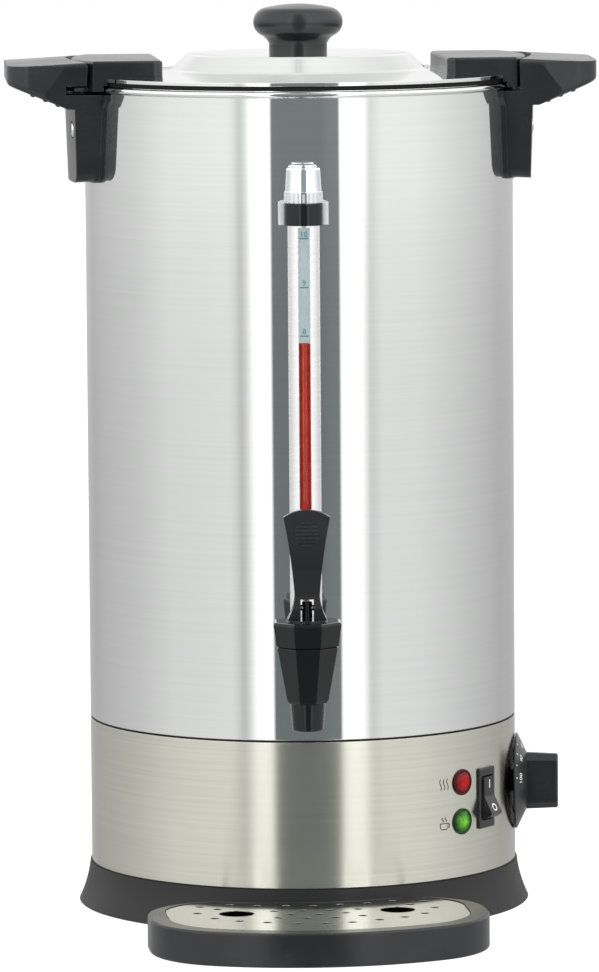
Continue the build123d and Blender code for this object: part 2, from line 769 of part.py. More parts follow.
# Capillary: sensing bulb in the heater plate's groove and the thin tube that leads
# from it, under the element, to the thermostat's back.
thermostat_back = thermostat_front - thermostat_depth
with BuildPart() as capillary:
    with BuildSketch(Plane.YZ.offset(-bulb_length / 2)):
        with Locations((-bulb_distance, bulb_height)):
            Circle(bulb_radius)
    extrude(amount=bulb_length)
    with BuildLine():
        thermostat_end = wall_plane(knob_angle, knob_height, thermostat_back)
        lead = FilletPolyline(
            (bulb_length / 2, -bulb_distance, bulb_height),
            (bulb_length / 2 + 7, -bulb_distance, bulb_height),
            (bulb_length / 2 + 11, -bulb_distance, bulb_height - 9),
            (bulb_length / 2 + 32, -bulb_distance + 1, bulb_height - 11),
            thermostat_end.from_local_coords((0, 0, -16)),
            thermostat_end.origin,
            radius=(4, 4, 8, 8),
        )
    with BuildSketch(Plane(lead @ 0, z_dir=lead % 0)):
        Circle(capillary_radius)
    sweep()
capillary.part.label = "capillary"
export_step(capillary.part, "parts/capillary.step")

# Power inlet: socket in the back of the band, with three pins and two screws.
inlet_front = body_radius + inlet_flange_reach
socket_floor = inlet_front - inlet_socket_depth
inlet_pin_places = (
    (0, inlet_pin_rise),
    (-inlet_pin_pitch, -inlet_pin_rise),
    (inlet_pin_pitch, -inlet_pin_rise),
)
with BuildPart() as power_inlet:
    with BuildSketch(wall_plane(inlet_angle, inlet_height, body_radius - cut_margin)):
        RectangleRounded(*inlet_flange, 4)
    extrude(amount=cut_margin + inlet_flange_reach)
    trim_to_wall(body_radius, inlet_height)
    with BuildSketch(wall_plane(inlet_angle, inlet_height, inlet_front - inlet_body_depth)):
        Rectangle(*inlet_body)
    extrude(amount=inlet_body_depth - inlet_flange_reach / 2)
    with BuildSketch(wall_plane(inlet_angle, inlet_height, socket_floor)) as socket:
        Rectangle(*inlet_socket)
        chamfer(socket.vertices().group_by(Axis.Y)[-1], 4)
    extrude(amount=inlet_socket_depth + 1, mode=Mode.SUBTRACT)
    with BuildSketch(wall_plane(inlet_angle, inlet_height, socket_floor)):
        with Locations(*inlet_pin_places):
            Rectangle(*inlet_pin)
    extrude(amount=-inlet_body_depth, mode=Mode.SUBTRACT)
    with BuildSketch(wall_plane(inlet_angle, inlet_height, body_radius - 2 * cut_margin)):
        with GridLocations(inlet_screw_pitch, 1, 2, 1):
            Circle(inlet_screw_radius)
    extrude(amount=4 * cut_margin, mode=Mode.SUBTRACT)
power_inlet.part.label = "power_inlet"
export_step(power_inlet.part, "parts/power_inlet.step")

with BuildPart() as inlet_pins:
    with BuildSketch(wall_plane(inlet_angle, inlet_height, inlet_front - inlet_body_depth - cut_margin)):
        with Locations(*inlet_pin_places):
            Rectangle(*inlet_pin)
    extrude(amount=inlet_body_depth - inlet_socket_depth + cut_margin + inlet_pin_length)
inlet_pins.part.label = "inlet_pins"
export_step(inlet_pins.part, "parts/inlet_pins.step")

with BuildPart() as inlet_screws:
    with BuildSketch(wall_plane(inlet_angle, inlet_height, inlet_front)):
        with GridLocations(inlet_screw_pitch, 1, 2, 1):
            Circle(1.9 * inlet_screw_radius)
    extrude(amount=1.2)
    with BuildSketch(wall_plane(inlet_angle, inlet_height, inlet_front)):
        with GridLocations(inlet_screw_pitch, 1, 2, 1):
            Circle(inlet_screw_radius)
    extrude(amount=-10)
inlet_screws.part.label = "inlet_screws"
export_step(inlet_screws.part, "parts/inlet_screws.step")

# ==== on the base plate ====

# Boil-dry cut-out: a box on the plate whose bush holds the reset button from below.
cutout_floor = plate_top + 4.0
with BuildPart() as boil_dry_cutout:
    with BuildSketch(Plane.XY.offset(plate_top)):
        with Locations(cutout_place):
            Rectangle(cutout_size[0], cutout_size[1])
    extrude(amount=cutout_size[2])
    fillet(edges().filter_by(Axis.Z), 2)
    with BuildSketch(Plane.XY.offset(plate_bottom - 2)):
        with Locations(cutout_place):
            Circle(cutout_bush_radius)
    extrude(amount=sheet + 2)
    with BuildSketch(Plane.XY.offset(plate_bottom - 2)):
        with Locations(cutout_place):
            Circle(button_radius + shaft_play)
    extrude(amount=cutout_floor - plate_bottom + 2, mode=Mode.SUBTRACT)
    with BuildSketch(Plane.XY.offset(cutout_floor)):
        with Locations(cutout_place):
            Circle(button_collar + rocker_gap)
    extrude(amount=button_collar_height + button_travel + 1, mode=Mode.SUBTRACT)
boil_dry_cutout.part.label = "boil_dry_cutout"
export_step(boil_dry_cutout.part, "parts/boil_dry_cutout.step")

with BuildPart() as reset_button:
    with BuildSketch(Plane.XY.offset(plate_bottom - button_reach)):
        with Locations(cutout_place):
            Circle(button_radius)
    extrude(amount=button_reach + cutout_floor - plate_bottom)
    fillet(faces().sort_by(Axis.Z)[0].edges(), 0.8)
    with BuildSketch(Plane.XY.offset(cutout_floor)):
        with Locations(cutout_place):
            Circle(button_collar)
    extrude(amount=button_collar_height)
reset_button.part.label = "reset_button"
export_step(reset_button.part, "parts/reset_button.step")

# Terminal block: moulded block with one well and screw for each wire.
with BuildPart() as terminal_block:
    with BuildSketch(Plane.XY.offset(plate_top)):
        with Locations(terminal_place):
            Rectangle(terminal_size[0], terminal_size[1])
    extrude(amount=terminal_size[2])
    with BuildSketch(Plane.XY.offset(plate_top + terminal_size[2])):
        with Locations(terminal_place):
            with GridLocations(terminal_size[0] / terminal_ways, terminal_size[1] / 2, terminal_ways, 2):
                Circle(2.4)
    extrude(amount=-terminal_well, mode=Mode.SUBTRACT)
terminal_block.part.label = "terminal_block"
export_step(terminal_block.part, "parts/terminal_block.step")

# Wiring: leads from the block's wells to the element, inlet, switch, lamps and cut-out.
well_x = terminal_size[0] / terminal_ways
well_y = terminal_size[1] / 4
well_floor = plate_top + terminal_size[2] - terminal_well
cold_x = element_ring * sin(radians(element_half_gap))
cold_y = element_ring * cos(radians(element_half_gap))
cold_foot = heater_bottom - cold_end_length - 8
inlet_back = inlet_front - inlet_body_depth - cut_margin
switch_back = body_radius - switch_body_depth - 8
lamp_back = body_radius - lamp_body_depth
block_x, block_y = terminal_place
high_pin = inlet_height + inlet_pin_rise
low_pin = inlet_height - inlet_pin_rise
middle_tab = wall_plane(rocker_angle, rocker_height, switch_back)
wire_routes = []
for side in (-1, 1):
    well = (block_x + side * well_x, block_y - well_y)
    wire_routes.append(
        ((*well, well_floor), (*well, 40), (side * cold_x, cold_y, 58), (side * cold_x, cold_y, cold_foot))
    )
for way, pin_x, pin_z in ((-1, -inlet_pin_pitch, low_pin), (0, 0, high_pin), (1, inlet_pin_pitch, low_pin)):
    well = (block_x + way * well_x, block_y + well_y)
    wire_routes.append(
        ((*well, well_floor), (*well, 36), (pin_x, inlet_back - 13, pin_z), (pin_x, inlet_back, pin_z))
    )
wire_routes.append(
    (
        (block_x, block_y - well_y, well_floor),
        (block_x, block_y - well_y, 36),
        (32, 16, 44),
        middle_tab.from_local_coords((0, 0, -14)),
        middle_tab.origin,
    )
)
for switch_step, lamp_height in ((8, lamp_heights[0]), (-8, lamp_heights[1])):
    tab = wall_plane(rocker_angle, rocker_height + switch_step, switch_back)
    lamp_end = wall_plane(lamp_angle, lamp_height, lamp_back)
    wire_routes.append(
        (
            tab.origin,
            tab.from_local_coords((0, 0, -11)),
            lamp_end.from_local_coords((0, 0, -16)),
            lamp_end.origin,
        )
    )
cutout_end = (cutout_place[0] + 6, cutout_place[1] - 4, plate_top + cutout_size[2])
thermostat_low = wall_plane(knob_angle, knob_height - 10, thermostat_back)
wire_routes.append(
    (
        thermostat_low.origin,
        thermostat_low.from_local_coords((0, 0, -20)),
        (6, 2, 68),
        (cutout_end[0], cutout_end[1], 60),
        cutout_end,
    )
)
with BuildPart() as wiring:
    for route in wire_routes:
        with BuildLine():
            lead = FilletPolyline(*route, radius=4)
        with BuildSketch(Plane(lead @ 0, z_dir=lead % 0)):
            Circle(wire_radius)
        sweep()
wiring.part.label = "wiring"
export_step(wiring.part, "parts/wiring.step")

# ==== drip tray ====


tray_pose = Location(
    (tray_shift * cos(radians(tray_twist)), tray_shift * sin(radians(tray_twist)), 0),
    (0, 0, tray_twist),
)


def tray_outline(inset, back_inset):
    """Plan of the tray: bowed front, rounded corners and a hollow round the ring."""
    half = tray_width / 2 - inset
    back = -(tray_back + back_inset)
    front_radius = tray_front_radius - inset
    centre = tray_front_radius - tray_front
    side = centre - (front_radius**2 - half**2) ** 0.5
    with BuildSketch(mode=Mode.PRIVATE) as outline:
        with BuildLine():
            Polyline((-half, side), (-half, back), (half, back), (half, side))
            ThreePointArc((half, side), (0, centre - front_radius), (-half, side))
        make_face()
        fillet(outline.vertices().group_by(Axis.Y)[-1], tray_rear_round - inset)
        fillet(outline.vertices().filter_by(lambda v: abs(v.Y - side) < 0.01), tray_front_round - inset)
        Circle(tray_notch_radius + back_inset, mode=Mode.SUBTRACT)
    with Locations(tray_pose):
        add(outline.sketch)


grate_seat = tray_height - grate_thickness - grate_gap
with BuildPart() as drip_tray:
    with BuildSketch():
        tray_outline(0, 0)
    extrude(amount=tray_height)
    fillet(faces().sort_by(Axis.Z)[-1].edges(), 1.2)
    fillet(faces().sort_by(Axis.Z)[0].edges(), 1.5)
    with BuildSketch(Plane.XY.offset(grate_seat)):
        tray_outline(tray_land, tray_back_land)
    extrude(amount=tray_height, mode=Mode.SUBTRACT)
    with BuildSketch(Plane.XY.offset(tray_floor)):
        tray_outline(tray_land + tray_ledge, tray_back_land + tray_ledge)
    extrude(amount=tray_height, mode=Mode.SUBTRACT)
drip_tray.part.label = "drip_tray"
export_step(drip_tray.part, "parts/drip_tray.step")

# Drip grate: polished plate with two large holes and small drain holes round them.
with BuildPart() as drip_grate:
    with BuildSketch(Plane.XY.offset(grate_seat)):
        tray_outline(tray_land + grate_gap, tray_back_land + grate_gap)
        with Locations(tray_pose):
            with Locations((0, -grate_hole_distance)):
                with GridLocations(grate_hole_pitch, 1, 2, 1):
                    Circle(grate_hole_radius, mode=Mode.SUBTRACT)
            for column, rows in drain_columns:
                for side in (-1, 1) if column else (1,):
                    with Locations(*[(side * column, -grate_hole_distance - row) for row in rows]):
                        Circle(drain_hole_radius, mode=Mode.SUBTRACT)
    extrude(amount=grate_thickness)
drip_grate.part.label = "drip_grate"
export_step(drip_grate.part, "parts/drip_grate.step")

# ==== tap ====

tap_flat_turn = 180 / 8

# Tap body: eight-sided tapered body with a round spout, a valve seat inside and a
# spigot at the back that goes into the gauge tee.
tee_back = body_radius + tee_washer
tee_front = gauge_distance + guard_radius + 3.0
spigot_end = gauge_distance + glass_socket + 0.6
spigot_radius = tee_bore + 1.8
with BuildPart() as tap_body:
    with BuildSketch(Plane.XY.offset(tap_seam)):
        with Locations((0, -tap_distance)):
            RegularPolygon(tap_across / 2, 8, major_radius=False, rotation=tap_flat_turn)
    extrude(amount=tap_shoulder - tap_seam, taper=tap_taper)
    chamfer(faces().sort_by(Axis.Z)[-1].edges(), seam_chamfer)
    fillet(faces().sort_by(Axis.Z)[0].edges(), 3.4)
    with BuildSketch(Plane.XY.offset(tap_shoulder + 1)):
        with Locations((0, -tap_distance)):
            Circle(spout_radius)
    extrude(amount=spout_end - tap_shoulder - 1, taper=spout_taper)
    fillet(faces().sort_by(Axis.Z)[0].edges(), 1.0)
    with BuildSketch(Plane.XZ.offset(tee_front)):
        with Locations((0, tap_height)):
            Circle(tee_radius - 0.6)
    extrude(amount=tap_distance - tee_front)
    with BuildSketch(Plane.XZ.offset(spigot_end)):
        with Locations((0, tap_height)):
            Circle(spigot_radius)
    extrude(amount=tap_distance - spigot_end)
    with BuildSketch(Plane.XY.offset(valve_floor)):
        with Locations((0, -tap_distance)):
            Circle(valve_chamber)
    extrude(amount=tap_seam - valve_floor, mode=Mode.SUBTRACT)
    with BuildSketch(Plane.XY.offset(valve_floor)):
        with Locations((0, -tap_distance)):
            Circle(valve_seat_radius)
    extrude(amount=valve_seat)
    with BuildSketch(Plane.XY.offset(spout_end)):
        with Locations((0, -tap_distance)):
            Circle(spout_bore)
    extrude(amount=valve_floor + valve_seat - spout_end, mode=Mode.SUBTRACT)
    with BuildSketch(Plane.XZ.offset(gauge_distance)):
        with Locations((0, tap_height)):
            Circle(tee_bore)
    extrude(amount=tap_distance - gauge_distance - valve_chamber / 2, mode=Mode.SUBTRACT)
tap_body.part.label = "tap_body"
export_step(tap_body.part, "parts/tap_body.step")

# Tap bonnet: eight-sided cap screwed into the body, with the spring's chamber.
chamber_top = bonnet_top - bonnet_roof
disc_top = bonnet_top + bonnet_disc_height
with BuildPart() as tap_bonnet:
    with BuildSketch(Plane.XY.offset(tap_seam)):
        with Locations((0, -tap_distance)):
            RegularPolygon(tap_across / 2 + bonnet_proud, 8, major_radius=False, rotation=tap_flat_turn)
    extrude(amount=bonnet_height, taper=-bonnet_taper)
    chamfer(faces().sort_by(Axis.Z)[0].edges(), seam_chamfer)
    fillet(faces().sort_by(Axis.Z)[-1].edges(), 1.6)
    with BuildSketch(Plane.XY.offset(tap_seam - bonnet_plug)):
        with Locations((0, -tap_distance)):
            Circle(valve_chamber)
    extrude(amount=bonnet_plug)
    with BuildSketch(Plane.XY.offset(bonnet_top)):
        with Locations((0, -tap_distance)):
            Circle(bonnet_disc_radius)
    extrude(amount=bonnet_disc_height)
    with BuildSketch(Plane.XY.offset(tap_seam - bonnet_plug)):
        with Locations((0, -tap_distance)):
            Circle(spring_chamber)
    extrude(amount=chamber_top - tap_seam + bonnet_plug, mode=Mode.SUBTRACT)
    with BuildSketch(Plane.XY.offset(chamber_top)):
        with Locations((0, -tap_distance)):
            Circle(stem_radius + shaft_play)
    extrude(amount=disc_top - chamber_top, mode=Mode.SUBTRACT)
tap_bonnet.part.label = "tap_bonnet"
export_step(tap_bonnet.part, "parts/tap_bonnet.step")

# Seat cup: silicone cup on the stem's foot that closes the spout's bore.
cup_bottom = valve_floor + valve_seat
cup_top = cup_bottom + cup_height
with BuildPart() as seat_cup:
    with BuildSketch(Plane.XY.offset(cup_bottom)):
        with Locations((0, -tap_distance)):
            Circle(cup_radius)
    extrude(amount=cup_height)
    fillet(faces().sort_by(Axis.Z)[-1].edges(), 1.5)
    with BuildSketch(Plane.XY.offset(cup_top - cup_socket)):
        with Locations((0, -tap_distance)):
            Circle(stem_radius)
    extrude(amount=cup_socket, mode=Mode.SUBTRACT)
seat_cup.part.label = "seat_cup"
export_step(seat_cup.part, "parts/seat_cup.step")

# Stem: it carries the cup, a collar for the spring and the lever's pin.
collar_bottom = cup_top + stem_collar_above_cup
collar_top = collar_bottom + stem_collar_height
lever_foot_height = disc_top + lever_gap
pin_height = lever_foot_height + lever_pin_rise
stem_top = pin_height + stem_past_pin
lever_top = lever_foot_height + lever_length
with BuildPart() as tap_stem:
    with BuildSketch(Plane.XY.offset(cup_top - cup_socket)):
        with Locations((0, -tap_distance)):
            Circle(stem_radius)
    extrude(amount=stem_top - cup_top + cup_socket)
    chamfer(faces().sort_by(Axis.Z)[-1].edges(), 0.4)
    with BuildSketch(Plane.XY.offset(collar_bottom)):
        with Locations((0, -tap_distance)):
            Circle(stem_collar_radius)
    extrude(amount=stem_collar_height)
    with BuildSketch(Plane.YZ.offset(-lever_slot)):
        with Locations((-tap_distance, pin_height)):
            Circle(lever_pin_radius + shaft_play)
    extrude(amount=2 * lever_slot, mode=Mode.SUBTRACT)
tap_stem.part.label = "tap_stem"
export_step(tap_stem.part, "parts/tap_stem.step")

# Tap spring: coil between the stem's collar and the bonnet's roof.
spring_rise = chamber_top - collar_top - 2 * spring_wire
with BuildPart() as tap_spring:
    with BuildLine():
        coil = Helix(
            pitch=spring_rise / spring_turns,
            height=spring_rise,
            radius=spring_coil,
            center=(0, -tap_distance, collar_top + spring_wire),
        )
    with BuildSketch(Plane(coil @ 0, z_dir=coil % 0)):
        Circle(spring_wire)
    sweep()
tap_spring.part.label = "tap_spring"
export_step(tap_spring.part, "parts/tap_spring.step")

# Lever: waisted blade with an arched top, a slotted foot round the stem and grip ridges.
waist_height = lever_foot_height + lever_waist_rise
shoulder_height = lever_top - lever_shoulder_drop
blade_height = waist_height + 0.42 * (shoulder_height - waist_height)
with BuildPart() as tap_lever:
    with BuildSketch(Plane.XZ.offset(tap_distance)):
        with BuildLine() as lever_side:
            ThreePointArc(
                (lever_foot_half, lever_foot_height),
                (lever_waist_half + 1.0, (lever_foot_height + waist_height) / 2),
                (lever_waist_half, waist_height),
            )
            ThreePointArc(
                (lever_waist_half, waist_height),
                (lever_waist_half + 1.7, blade_height),
                (lever_top_half, shoulder_height),
            )
            mirror(about=Plane.YZ)
            ThreePointArc(
                (lever_top_half, shoulder_height),
                (0, lever_top),
                (-lever_top_half, shoulder_height),
            )
            Line((-lever_foot_half, lever_foot_height), (lever_foot_half, lever_foot_height))
        make_face()
    extrude(amount=2 * lever_foot, both=True)
    with BuildSketch(Plane.YZ):
        with Locations((-tap_distance, lever_foot_height)):
            Polygon(
                (-lever_foot, 0),
                (-lever_foot - 0.3, lever_pin_rise),
                (-lever_foot + 1.6, lever_waist_rise),
                (-lever_foot + 2.4, 0.45 * lever_length),
                (-lever_foot + 1.4, 0.8 * lever_length),
                (-lever_foot + 1.8, lever_length + 1),
                (-lever_foot + 5.6, lever_length + 1),
                (-lever_foot + 6.2, 0.8 * lever_length),
                (-lever_foot + 8.2, 0.45 * lever_length),
                (lever_foot - 1.6, lever_waist_rise),
                (lever_foot + 0.3, lever_pin_rise),
                (lever_foot, 0),
                align=None,
            )
    extrude(amount=2 * lever_top_half, both=True, mode=Mode.INTERSECT)
    lever_front = tap_distance + lever_foot - 1.4
    with BuildSketch(Plane.XZ.offset(lever_front - 1)):
        for ridge in range(ridge_count):
            reach = 1 - (2 * ridge / (ridge_count - 1) - 1) ** 4
            with Locations((0, 0.775 * lever_length + lever_foot_height + (ridge - 3) * ridge_pitch)):
                Rectangle(5 + 6.5 * reach, ridge_height)
    extrude(amount=1 + ridge_proud)
    with BuildSketch(Plane.XZ.offset(tap_distance)):
        with Locations((0, pin_height + lever_slot_rise)):
            Rectangle(lever_slot, 4 * lever_pin_rise, align=(Align.CENTER, Align.MAX))
    extrude(amount=3 * lever_foot, both=True, mode=Mode.SUBTRACT)
    with BuildSketch(Plane.YZ.offset(-lever_top_half)):
        with Locations((-tap_distance, pin_height)):
            Circle(lever_pin_radius)
    extrude(amount=2 * lever_top_half, mode=Mode.SUBTRACT)
tap_lever.part.label = "tap_lever"
export_step(tap_lever.part, "parts/tap_lever.step")

with BuildPart() as lever_pin:
    with BuildSketch(Plane.YZ):
        with Locations((-tap_distance, pin_height)):
            Circle(lever_pin_radius)
    extrude(amount=lever_waist_half, both=True)
lever_pin.part.label = "lever_pin"
export_step(lever_pin.part, "parts/lever_pin.step")

# ==== gauge ====

# Gauge tee: plated fitting between tank and tap, with a boss for the glass.
with BuildPart() as gauge_tee:
    with BuildSketch(Plane.XZ.offset(tee_back)):
        with Locations((0, tap_height)):
            Circle(tee_radius)
    extrude(amount=tee_front - tee_back)
    with BuildSketch(Plane.XZ.offset(tee_stub_end)):
        with Locations((0, tap_height)):
            Circle(tee_stub_radius)
    extrude(amount=tee_back - tee_stub_end)
    with BuildSketch(Plane.XY.offset(tap_height)):
        with Locations((0, -gauge_distance)):
            Circle(guard_radius)
    extrude(amount=tee_boss_top - tap_height)
    with BuildSketch(Plane.XY.offset(tee_boss_top)):
        with Locations((0, -gauge_distance)):
            Circle(guard_radius - guard_wall)
    extrude(amount=tee_spigot)
    with BuildSketch(Plane.XZ.offset(tee_stub_end)):
        with Locations((0, tap_height)):
            Circle(tee_bore)
    extrude(amount=tee_front - tee_stub_end, mode=Mode.SUBTRACT)
    with BuildSketch(Plane.XZ.offset(spigot_end)):
        with Locations((0, tap_height)):
            Circle(spigot_radius)
    extrude(amount=tee_front - spigot_end, mode=Mode.SUBTRACT)
    with BuildSketch(Plane.XY.offset(tap_height)):
        with Locations((0, -gauge_distance)):
            Circle(glass_bore)
    extrude(amount=glass_foot - tap_height, mode=Mode.SUBTRACT)
    with BuildSketch(Plane.XY.offset(glass_foot)):
        with Locations((0, -gauge_distance)):
            Circle(glass_socket)
    extrude(amount=tee_boss_top + tee_spigot - glass_foot, mode=Mode.SUBTRACT)
gauge_tee.part.label = "gauge_tee"
export_step(gauge_tee.part, "parts/gauge_tee.step")

# Tee washers: silicone rings on both sides of the tank's wall, shaped to it.
inner_face = (wall_inside**2 - washer_radius**2) ** 0.5 - tee_washer
with BuildPart() as outer_washer:
    with BuildSketch(Plane.XZ.offset(body_radius - tee_washer)):
        with Locations((0, tap_height)):
            Circle(washer_radius)
            Circle(tee_stub_radius, mode=Mode.SUBTRACT)
    extrude(amount=2 * tee_washer)
    trim_to_wall(body_radius, tap_height)
with BuildPart() as inner_washer:
    with BuildSketch(Plane.XZ.offset(inner_face)):
        with Locations((0, tap_height)):
            Circle(washer_radius)
            Circle(tee_stub_radius, mode=Mode.SUBTRACT)
    extrude(amount=4 * tee_washer)
    with Locations((0, 0, tap_height)):
        Cylinder(wall_inside, 4 * washer_radius, mode=Mode.INTERSECT)
with BuildPart() as tee_washers:
    add(outer_washer.part)
    add(inner_washer.part)
tee_washers.part.label = "tee_washers"
export_step(tee_washers.part, "parts/tee_washers.step")

with BuildPart() as tee_nut:
    with BuildSketch(Plane.XZ.offset(inner_face)):
        with Locations((0, tap_height)):
            RegularPolygon(nut_across / 2, 6, major_radius=False)
            Circle(tee_stub_radius, mode=Mode.SUBTRACT)
    extrude(amount=-nut_thickness)
tee_nut.part.label = "tee_nut"
export_step(tee_nut.part, "parts/tee_nut.step")

# Gauge seal: sleeve that holds the glass in the tee's boss.
with BuildPart() as gauge_seal:
    with BuildSketch(Plane.XY.offset(glass_foot + 1)):
        with Locations((0, -gauge_distance)):
            Circle(glass_socket)
            Circle(glass_radius, mode=Mode.SUBTRACT)
    extrude(amount=tee_boss_top + tee_spigot - glass_foot - 1)
gauge_seal.part.label = "gauge_seal"
export_step(gauge_seal.part, "parts/gauge_seal.step")

cap_bottom = clamp_top + 0.2
with BuildPart() as gauge_tube:
    with BuildSketch(Plane.XY.offset(glass_foot)):
        with Locations((0, -gauge_distance)):
            Circle(glass_radius)
            Circle(glass_bore, mode=Mode.SUBTRACT)
    extrude(amount=cap_bottom + cap_bore_depth - glass_foot)
gauge_tube.part.label = "gauge_tube"
export_step(gauge_tube.part, "parts/gauge_tube.step")

# Level column: what stands in the glass, up to the level shown.
with BuildPart() as level_column:
    with BuildSketch(Plane.XY.offset(glass_foot)):
        with Locations((0, -gauge_distance)):
            Circle(glass_bore)
    extrude(amount=level_height - glass_foot)
level_column.part.label = "level_column"
export_step(level_column.part, "parts/level_column.step")

# Gauge guard: polished tube round the glass with a long window in front.
with BuildPart() as gauge_guard:
    with BuildSketch(Plane.XY.offset(tee_boss_top)):
        with Locations((0, -gauge_distance)):
            Circle(guard_radius)
            Circle(guard_radius - guard_wall, mode=Mode.SUBTRACT)
    extrude(amount=cap_bottom - tee_boss_top)
    window_bottom = tee_boss_top + window_margin
    with BuildSketch(Plane.XZ.offset(gauge_distance)):
        with Locations((0, window_bottom)):
            Rectangle(
                window_width,
                clamp_bottom - 1 - window_bottom,
                align=(Align.CENTER, Align.MIN),
            )
    extrude(amount=2 * guard_radius, mode=Mode.SUBTRACT)
gauge_guard.part.label = "gauge_guard"
export_step(gauge_guard.part, "parts/gauge_guard.step")

# Gauge clamp: chromed saddle that holds the guard to the tank's wall.
with BuildPart() as gauge_clamp:
    with BuildSketch(Plane.XY.offset(clamp_bottom)):
        with Locations((0, -gauge_distance)):
            saddle_depth = gauge_distance - body_radius + cut_margin
            Rectangle(2 * clamp_ear, saddle_depth, align=(Align.CENTER, Align.MIN))
    extrude(amount=clamp_height)
    trim_to_wall(body_radius, clamp_screw_height)
    with BuildSketch(Plane.XY.offset(clamp_bottom)):
        with Locations((0, -gauge_distance)):
            Circle(guard_radius)
    extrude(amount=clamp_height, mode=Mode.SUBTRACT)
    with BuildSketch(Plane.XZ.offset(body_radius - cut_margin)):
        with Locations((0, clamp_screw_height)):
            with GridLocations(clamp_screw_pitch, 1, 2, 1):
                Circle(clamp_screw_radius)
    extrude(amount=2 * cut_margin, mode=Mode.SUBTRACT)
gauge_clamp.part.label = "gauge_clamp"
export_step(gauge_clamp.part, "parts/gauge_clamp.step")

clamp_screw_seat = (wall_inside**2 - (clamp_screw_pitch / 2 + 2 * clamp_screw_radius) ** 2) ** 0.5
with BuildPart() as clamp_screws:
    with BuildSketch(Plane.XZ.offset(clamp_screw_seat - 2)):
        with Locations((0, clamp_screw_height)):
            with GridLocations(clamp_screw_pitch, 1, 2, 1):
                Circle(1.9 * clamp_screw_radius)
    extrude(amount=2)
    with BuildSketch(Plane.XZ.offset(clamp_screw_seat)):
        with Locations((0, clamp_screw_height)):
            with GridLocations(clamp_screw_pitch, 1, 2, 1):
                Circle(clamp_screw_radius)
    extrude(amount=body_radius + cut_margin - 0.5 - clamp_screw_seat)
clamp_screws.part.label = "clamp_screws"
export_step(clamp_screws.part, "parts/clamp_screws.step")

# Clamp strap: black bow round the front of the guard, its ends seated on the saddle.
with BuildPart() as clamp_strap:
    with BuildSketch(Plane.XY.offset(clamp_bottom)):
        with Locations((0, -gauge_distance)):
            Circle(guard_radius + strap_wall)
            Circle(guard_radius, mode=Mode.SUBTRACT)
            Rectangle(2 * clamp_ear, saddle_depth, align=(Align.CENTER, Align.MIN), mode=Mode.SUBTRACT)
    extrude(amount=clamp_height)
clamp_strap.part.label = "clamp_strap"
export_step(clamp_strap.part, "parts/clamp_strap.step")

# Gauge cap: ribbed skirt, tapered body and a button on top.
with BuildPart() as gauge_cap:
    with BuildSketch(Plane.XY.offset(cap_bottom)):
        with Locations((0, -gauge_distance)):
            Circle(cap_skirt_radius)
    extrude(amount=cap_skirt_height)
    with BuildSketch(Plane.XY.offset(cap_bottom)):
        with Locations((0, -gauge_distance)):
            with PolarLocations(cap_skirt_radius, 24):
                Circle(0.5)
    extrude(amount=cap_skirt_height - 1, mode=Mode.SUBTRACT)
    cap_body_height = cap_height - cap_skirt_height
    with BuildSketch(Plane.XY.offset(cap_bottom + cap_skirt_height)):
        with Locations((0, -gauge_distance)):
            Circle(cap_radius)
    cap_draft = degrees(asin((cap_radius - cap_top_radius) / cap_body_height))
    extrude(amount=cap_body_height, taper=cap_draft)
    fillet(faces().sort_by(Axis.Z)[-1].edges(), 1.2)
    with BuildSketch(Plane.XY.offset(cap_bottom + cap_height)):
        with Locations((0, -gauge_distance)):
            Circle(cap_button_radius)
    extrude(amount=cap_button_height)
    fillet(faces().sort_by(Axis.Z)[-1].edges(), 0.8)
    with BuildSketch(Plane.XY.offset(cap_bottom)):
        with Locations((0, -gauge_distance)):
            Circle(glass_radius)
    extrude(amount=cap_bore_depth, mode=Mode.SUBTRACT)
gauge_cap.part.label = "gauge_cap"
export_step(gauge_cap.part, "parts/gauge_cap.step")

# ==== handles ====

